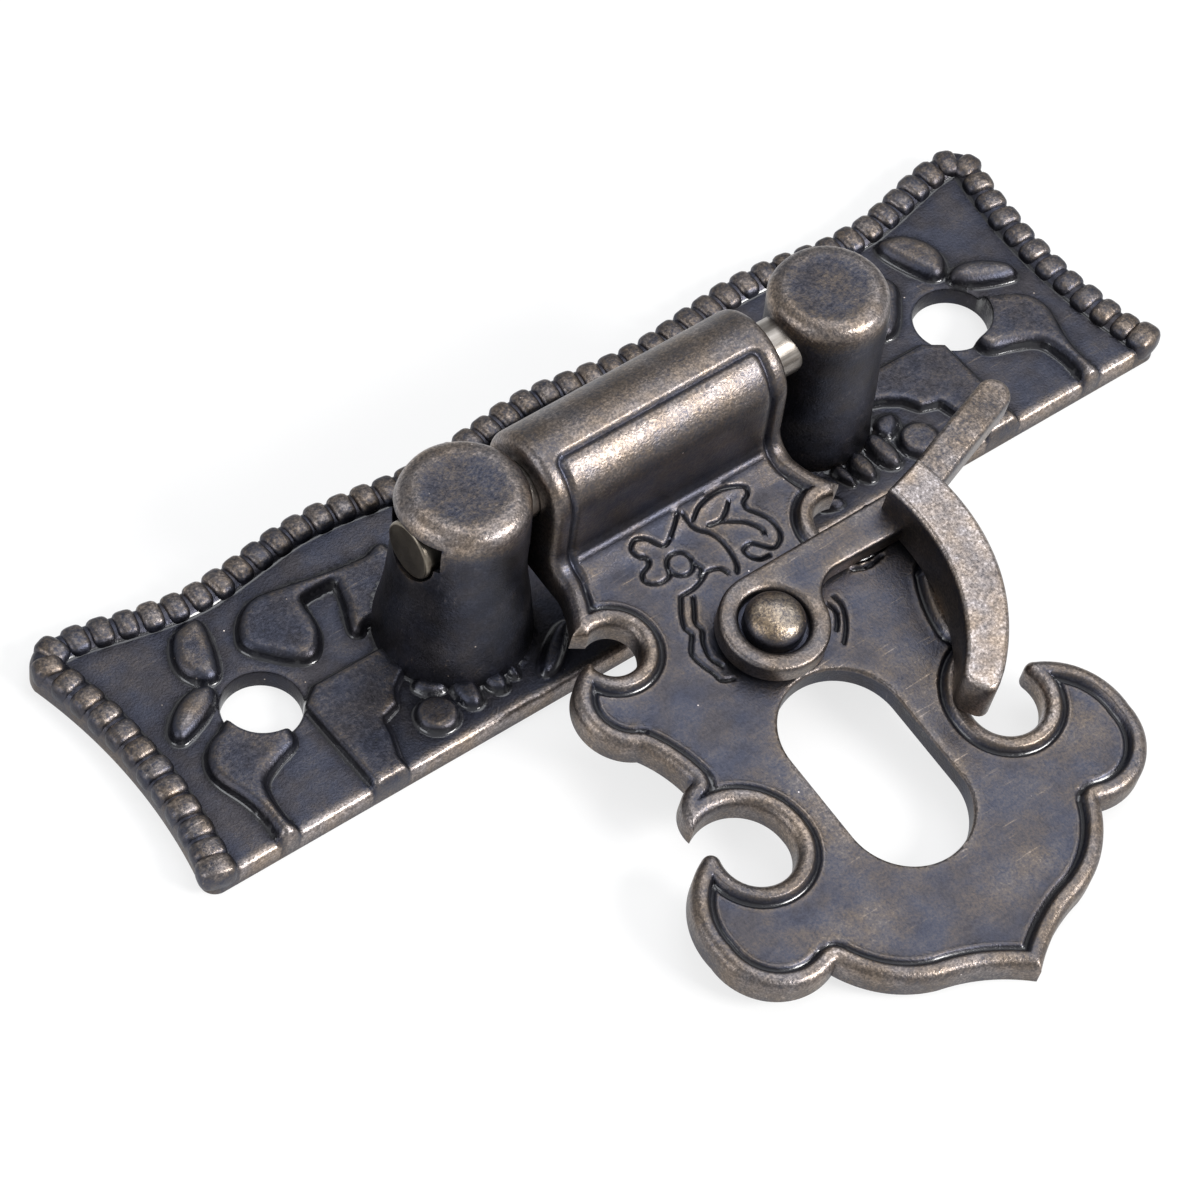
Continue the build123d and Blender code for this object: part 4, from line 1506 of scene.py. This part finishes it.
    def cap(self, shell: Shell, place: Placing, points: Array, ring: list[int]) -> None:
        """Close one end of knuckle and neck, leaving the pin's bore open.

        Args:
            shell: Shell to add to.
            place: Frame of the side profile.
            points: Points gathered so far.
            ring: Indices round the end.
        """
        local = points[ring] - place.origin
        flat = np.stack([local @ place.along, local @ place.up], 1)
        bore = ring_of(self.bore, 48)
        sheet = Sheet.lay([flat, bore], [], 0)
        side = np.full(len(bore), float((local @ place.across).mean()))
        mouth = shell.add(place.world(side, bore[:, 0], bore[:, 1]), [], 0.1)
        deep = shell.add(place.world(np.zeros(len(bore)), bore[:, 0], bore[:, 1]), [], 0.0)
        corners = ring + [mouth + i for i in range(len(bore))]
        shell.faces.extend([[corners[i] for i in t] for t in sheet.triangles])
        shell.wall(np.arange(mouth, mouth + len(bore)), np.arange(deep, deep + len(bore)))

    def dress(self, finish: Material) -> Piece:
        """Make the hasp and give it its finish."""
        return dressed(self.build().finish("hasp_casting", 48.0, 0.8), finish)


@dataclass
class SwingCatch:
    """The catch: eye, arm, curved hook and thumb tab."""

    lift: float = 0.12
    eye: float = 3.3
    eye_top: float = 1.4
    recess_radius: float = 2.07
    recess_depth: float = 0.75
    arm_width: float = 2.3
    crotch_radius: float = 2.2
    hub_radius: float = 2.7
    hub_low: float = -0.32
    dish_depth: float = 0.14
    dish_width: float = 0.38
    tip_fall: float = 0.35
    tab_fall: float = 0.3
    hook_inner: float = 10.3
    hook_outer: float = 13.2
    hook_tip_inner: float = 11.1
    hook_top: float = 3.6
    root_angle: float = 15.0
    tip_angle: float = -58.0
    tip_round: float = 0.9
    tab_width: float = 2.1
    tab_top: float = 2.4
    tab_thick: float = 2.0
    tab_angle: float = 19.0
    tab_root_angle: float = 10.5
    tab_length: float = 9.3

    def placing(self, hasp: HaspLeaf) -> Placing:
        """Frame at the rivet on the hasp's rim plane, along pointing to the pin."""
        side = hasp.placing()
        origin = side.origin - hasp.rim_drop * side.up + hasp.catch_at * side.along
        return Placing(origin, side.across, -side.along, side.up)

    @staticmethod
    def polar(radius: float, angle: float) -> tuple:
        """Point at a radius and an angle in degrees."""
        return (radius * math.cos(math.radians(angle)), radius * math.sin(math.radians(angle)))

    def prism(self, shell: Shell, place: Placing, loops: list[Array], low: float, high: float, soft: float,
              polish: float, grit: float = 0.0, shape: Callable[[Array], Array] | None = None) -> None:
        """Add a rounded block standing on a plan outline.

        Args:
            shell: Shell to add to.
            place: Frame of the plan.
            loops: Plan outline and holes.
            low: Height of its underside.
            high: Height of its top.
            soft: Radius of the top edge.
            polish: Polish of the top.
            grit: Speckle of the top.
            shape: Function of the plan points that gives extra height, or None.
        """
        steps = tuple(soft * k for k in (0.04, 0.14, 0.3, 0.5, 0.75, 1.0))
        sheet = Sheet.lay(loops, [beside(loop, steps, True) for loop in loops], 0.3)
        p = sheet.points
        depth = np.min([line_distance(p, loop, True) for loop in loops], 0)
        top_height = high + edge_round(depth, soft)
        if shape is not None:
            top_height = top_height + shape(p)
        worn = polish - (polish + 0.1) * (1.0 - smooth_step(0.0, 0.4, depth / soft))
        top = shell.add(place.world(p[:, 0], p[:, 1], top_height), sheet.triangles, worn, grit)
        base = Sheet.lay(loops, [], 0)
        bottom = shell.add(place.world(base.points[:, 0], base.points[:, 1], low), base.triangles, 0.02)
        for rim, under in zip(sheet.rims, base.rims):
            level = top_height[rim] - 0.25 * (high - low)
            middle = shell.add(place.world(p[rim, 0], p[rim, 1], level), [], 0.03)
            band = np.arange(middle, middle + len(rim))
            shell.wall(rim + top, band)
            shell.wall(band, under + bottom)

    def eye_plan(self, reach: float) -> Array:
        """Plan of the eye and of the arm up to its reach."""
        r = self.crotch_radius
        under, over = self.eye - self.arm_width, self.eye + 0.05
        crotch = math.sqrt((self.eye + r) ** 2 - (under - r) ** 2)
        touch = np.array((crotch, under - r)) * self.eye / (self.eye + r)
        start = math.degrees(math.atan2(touch[1], touch[0]))
        angles = np.radians(np.linspace(90.0, 360.0 + start, 80))
        bend = (crotch - r * math.sin(0.75), under - r + r * math.cos(0.75))
        end = (reach, under - 0.15)
        return np.vstack([
            self.eye * at_angles(angles)[:-1],
            arc_through(tuple(touch), bend, (crotch, under)),
            straight((crotch, under), end), straight(end, (reach, over)),
            straight((reach, over), (0.0, self.eye)),
        ])

    def blade(self) -> Array:
        """Plan of the curved hook, with its rounded tip."""
        middle = (self.root_angle + self.tip_angle) / 2
        root_in, root_out = (self.polar(r, self.root_angle) for r in (self.hook_inner, self.hook_outer))
        tip_in, tip_out = (self.polar(r, self.tip_angle) for r in (self.hook_tip_inner, self.hook_outer))
        inner = arc_through(root_in, self.polar(self.hook_inner, middle), tip_in)
        outer = arc_through(tip_out, self.polar(self.hook_outer, middle), root_out)
        stop = int(2 * self.tip_round / STEP)
        corners = [tuple(inner[-stop]), tip_in, tip_out, tuple(outer[stop])]
        nose = rounded_profile(corners, [0, self.tip_round, self.tip_round, 0])
        return np.vstack([inner[:-stop], nose, outer[stop + 1:], straight(root_out, root_in)])

    def tab(self, root: Array, direction: Array) -> Array:
        """Plan of the thumb tab, from its root in a direction to its round end."""
        cross = np.array((-direction[1], direction[0]))
        r = self.tab_width / 2
        right, left = tuple(root - cross * r), tuple(root + cross * r)
        a = np.linspace(-math.pi / 2, math.pi / 2, 40)[:, None]
        end = root + direction * self.tab_length + r * (np.cos(a) * direction + np.sin(a) * cross)
        return np.vstack([
            straight(right, tuple(end[0])), end, straight(tuple(end[-1]), left)[1:], straight(left, right)])

    def build(self, hasp: HaspLeaf) -> Shell:
        """Shape the catch at its place on the hasp.

        Args:
            hasp: The hasp that carries it.

        Returns:
            The catch as one shell.
        """
        place = self.placing(hasp)
        shell = Shell()
        reach = (self.hook_inner + self.hook_outer) / 2
        root = np.array(self.polar(reach, self.tab_root_angle))
        direction = np.array(self.polar(1.0, self.tab_angle))

        def dish(p: Array) -> Array:
            """Let the eye's top fall softly into the recess."""
            away = np.hypot(p[:, 0], p[:, 1]) - self.recess_radius
            return -self.dish_depth * (1.0 - smooth_step(0.0, self.dish_width, away))

        def lean(p: Array) -> Array:
            """Let the blade's top fall a little towards its tip."""
            return -self.tip_fall * smooth_step(-20.0, -60.0, np.degrees(np.arctan2(p[:, 1], p[:, 0])))

        def slant(p: Array) -> Array:
            """Let the tab's outer third fall towards its end."""
            run = (p - root) @ direction
            return -self.tab_fall * smooth_step(self.tab_length * 0.62, self.tab_length * 1.1, run)

        recess = ring_of(self.recess_radius, 72)
        eye = [self.eye_plan(reach), recess]
        self.prism(shell, place, eye, self.lift, self.eye_top, soft=0.26, polish=0.05, grit=0.20, shape=dish)
        floor = Sheet.lay([recess], [], 0.3)
        level = self.eye_top - self.recess_depth
        shell.add(place.world(floor.points[:, 0], floor.points[:, 1], level), floor.triangles, 0.0)
        hub = ring_of(self.hub_radius, 72)
        self.prism(shell, place, [hub], self.hub_low, self.lift + 0.2, soft=0.05, polish=0.0)
        self.prism(shell, place, [self.blade()], self.lift, self.hook_top,
                   soft=0.34, polish=0.48, grit=0.62, shape=lean)
        self.prism(shell, place, [self.tab(root, direction)], self.tab_top - self.tab_thick, self.tab_top,
                   soft=0.36, polish=0.24, grit=0.85, shape=slant)
        return shell

    def dress(self, hasp: HaspLeaf, finish: Material) -> Piece:
        """Make the catch and give it its finish."""
        return dressed(self.build(hasp).finish("catch_casting", 42.0), finish)


@dataclass
class Fastenings:
    """The turned pieces: hinge pin and catch rivet."""

    pin_radius: float = 1.8
    pin_start: float = -17.05
    pin_stop: float = 13.78
    head: float = 1.83
    shank: float = 1.15
    dome: float = 0.95
    tail: float = 1.8
    tail_height: float = 0.5

    def pin(self, base: BasePlate, finish: Material) -> Piece:
        """Turn the hinge pin.

        Args:
            base: The plate that holds it.
            finish: Its material.

        Returns:
            The pin.
        """
        r, length = self.pin_radius, self.pin_stop - self.pin_start
        corners = [(0, 0), (r, 0), (r, 1.5), (r, length), (0, length)]
        points, faces = lathe(rounded_profile(corners, [0, 0.18, 0.3, 0.15, 0], 6), 96)
        shell = Shell()
        places = points[:, (2, 0, 1)] + (self.pin_start, base.post_y, base.pin_z)
        shell.add(places, faces, smooth_step(0.6, 1.6, points[:, 2]))
        return dressed(shell.finish("pin_steel", 40.0), finish)

    def rivet(self, catch: SwingCatch, hasp: HaspLeaf, finish: Material) -> Piece:
        """Turn the catch rivet with its peened dome.

        Args:
            catch: The catch it holds.
            hasp: The hasp it is set in.
            finish: Its material.

        Returns:
            The rivet.
        """
        seat = catch.eye_top - catch.recess_depth + 0.05
        top = catch.eye_top + self.dome
        a = np.linspace(0.0, math.pi / 2, 26)
        foot = catch.eye_top - 0.1
        dome = np.stack([self.head * np.cos(a) ** 0.9, foot + (top - foot) * np.sin(a)], 1)
        low, end = -hasp.thickness, -hasp.thickness - self.tail_height
        corners = [(0, end), (self.tail, end), (self.tail, low), (self.shank, low), (self.shank, seat),
                   (self.head, seat)]
        points, faces = lathe(np.vstack([corners, dome[:-1], [(0, top)]]), 96)
        high = smooth_step(seat + 0.7, top - 0.2, points[:, 2])
        dents = np.sin(3.1 * points[:, 0] + 0.7) * np.sin(3.6 * points[:, 1] + 0.3)
        points[:, 2] += 0.035 * high * dents
        place = catch.placing(hasp)
        shell = Shell()
        shell.add(place.world(*points.T), faces, 0.56 * high - 0.1, 0.8 * high)
        return dressed(shell.finish("rivet_metal", 40.0), finish)


@dataclass
class Studio:
    """White sweep, soft lamps and the camera."""

    focal: float = 5500.0
    frame_px: float = 1200.0
    azimuth: float = -0.755899
    elevation: float = 0.916501
    roll: float = 0.125437
    shift_x: float = 0.123976
    shift_y: float = -0.336759
    distance: float = 9.915639
    unit: float = 33.0
    rise: float = 1.3
    back: float = 8.5
    sensor: float = 36.0
    lamp_distance: float = 0.6
    lit_point: tuple = (0.0, -0.01, 0.005)
    floor_size: float = 3.0
    floor_level: float = -0.00005
    floor_glow: float = 0.74
    room_light: float = 0.5

    def camera(self) -> None:
        """Set the camera at the photograph's view."""
        az, el, ro = self.azimuth, self.elevation, self.roll
        right = Vector((math.cos(az), math.sin(az), 0.0))
        back = Vector((math.sin(az) * math.cos(el), -math.cos(az) * math.cos(el), math.sin(el)))
        up = back.cross(right)
        turned = right * math.cos(ro) + up * math.sin(ro)
        upright = up * math.cos(ro) - right * math.sin(ro)
        spot = turned * self.shift_x + upright * self.shift_y + back * self.distance
        spot = (spot * self.unit + Vector((0.0, self.back, self.rise))) * MM
        data = bpy.data.cameras.new("view")
        data.sensor_width = self.sensor
        data.lens = self.sensor * self.focal / self.frame_px
        data.clip_start, data.clip_end = 0.01, 20.0
        made = put("view", data)
        turn = Matrix((turned, upright, back)).transposed().to_4x4()
        made.matrix_world = Matrix.Translation(spot) @ turn
        bpy.context.scene.camera = made

    def lamp(self, name: str, direction: tuple, size: tuple, watts: float, tint: tuple) -> None:
        """Hang a soft lamp that faces the latch.

        Args:
            name: Name of the lamp.
            direction: Direction from the latch to the lamp.
            size: Width and height, in metres.
            watts: Power.
            tint: Colour of its light.
        """
        data = bpy.data.lights.new(name, "AREA")
        data.shape = "RECTANGLE"
        data.size, data.size_y = size
        data.energy = watts
        data.color = tint
        made = put(name, data)
        way = Vector(direction).normalized()
        made.location = way * self.lamp_distance + Vector(self.lit_point)
        made.rotation_mode = "QUATERNION"
        made.rotation_quaternion = (-way).to_track_quat("-Z", "Y")

    def sweep(self) -> None:
        """Lay the white floor, which keeps a faint shadow."""
        mesh = bpy.data.meshes.new("floor")
        size, level = self.floor_size, self.floor_level
        corners = [(-size, -size, level), (size, -size, level), (size, size, level), (-size, size, level)]
        mesh.from_pydata(corners, [], [(0, 1, 2, 3)])
        made = put("floor", mesh)
        board = Board("white_sweep")
        board.surface({"Base Color": (0.9, 0.9, 0.9, 1.0), "Roughness": 0.9, "Specular IOR Level": 0.1})
        glow = board.add("ShaderNodeEmission")
        glow.inputs["Strength"].default_value = 1.0
        path = board.add("ShaderNodeLightPath")
        seen = board.maths("MAXIMUM", path.outputs["Is Camera Ray"], path.outputs["Is Glossy Ray"])
        seen = board.maths("MAXIMUM", seen, path.outputs["Is Transmission Ray"])
        mix = board.add("ShaderNodeMixShader")
        board.link(board.times(seen, self.floor_glow), mix.inputs["Fac"])
        board.link(board.shader.outputs["BSDF"], mix.inputs[1])
        board.link(glow.outputs["Emission"], mix.inputs[2])
        board.link(mix.outputs["Shader"], board.output.inputs["Surface"])
        mesh.materials.append(board.material)

    def world(self) -> None:
        """Light the room softly and evenly."""
        world = bpy.data.worlds.new("room")
        bpy.context.scene.world = world
        world.use_nodes = True
        shade = world.node_tree.nodes["Background"]
        shade.inputs["Color"].default_value = (0.97, 0.985, 1.0, 1.0)
        shade.inputs["Strength"].default_value = self.room_light

    def build(self) -> None:
        """Set up camera, lamps, floor and room."""
        self.camera()
        self.lamp("key", (0.39, -0.72, 0.58), (0.26, 0.16), 3.9, (1.0, 0.985, 0.965))
        self.lamp("top", (0.36, 0.10, 0.93), (0.5, 0.4), 1.5, (0.95, 0.97, 1.0))
        self.lamp("left", (-1.0, 0.1, 0.6), (0.3, 0.4), 1.2, (0.95, 0.97, 1.0))
        self.sweep()
        self.world()
        bpy.context.scene.view_settings.view_transform = "Standard"


def ride_on(piece: Piece, body: Body, nodes: tuple = ()) -> None:
    """Fix a finished piece to its body and report it.

    Args:
        piece: The piece.
        body: Body it moves with.
        nodes: Solids of the frame that it stands for.
    """
    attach(piece, body.value)
    if nodes:
        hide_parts(*nodes)
    log.info("%s: %d faces on %s", piece.name, len(piece.data.polygons), body.value)


def main() -> None:
    """Build the latch and its studio in order."""
    logging.basicConfig(level=logging.INFO, format="%(name)s %(message)s")
    casting = Bronze("antique_bronze").material()
    brassy = Bronze("worn_rivet", worn=(0.33, 0.265, 0.195), bare=(0.64, 0.53, 0.40)).material()
    steel = TurnedSteel("pin_steel").material()

    base = BasePlate()
    plate, left, right, beads = base.dress(casting)
    ride_on(plate, Body.BASE, ("base_plate",))
    for piece in (left, right, beads):
        ride_on(piece, Body.BASE)

    hasp = HaspLeaf()
    ride_on(hasp.dress(casting), Body.HASP, ("hasp",))

    catch = SwingCatch()
    ride_on(catch.dress(hasp, casting), Body.CATCH, ("swing_catch",))

    turned = Fastenings()
    ride_on(turned.pin(base, steel), Body.BASE, ("hinge_pin",))
    ride_on(turned.rivet(catch, hasp, brassy), Body.HASP, ("catch_rivet",))

    Studio().build()


if __name__ == "__main__":
    main()
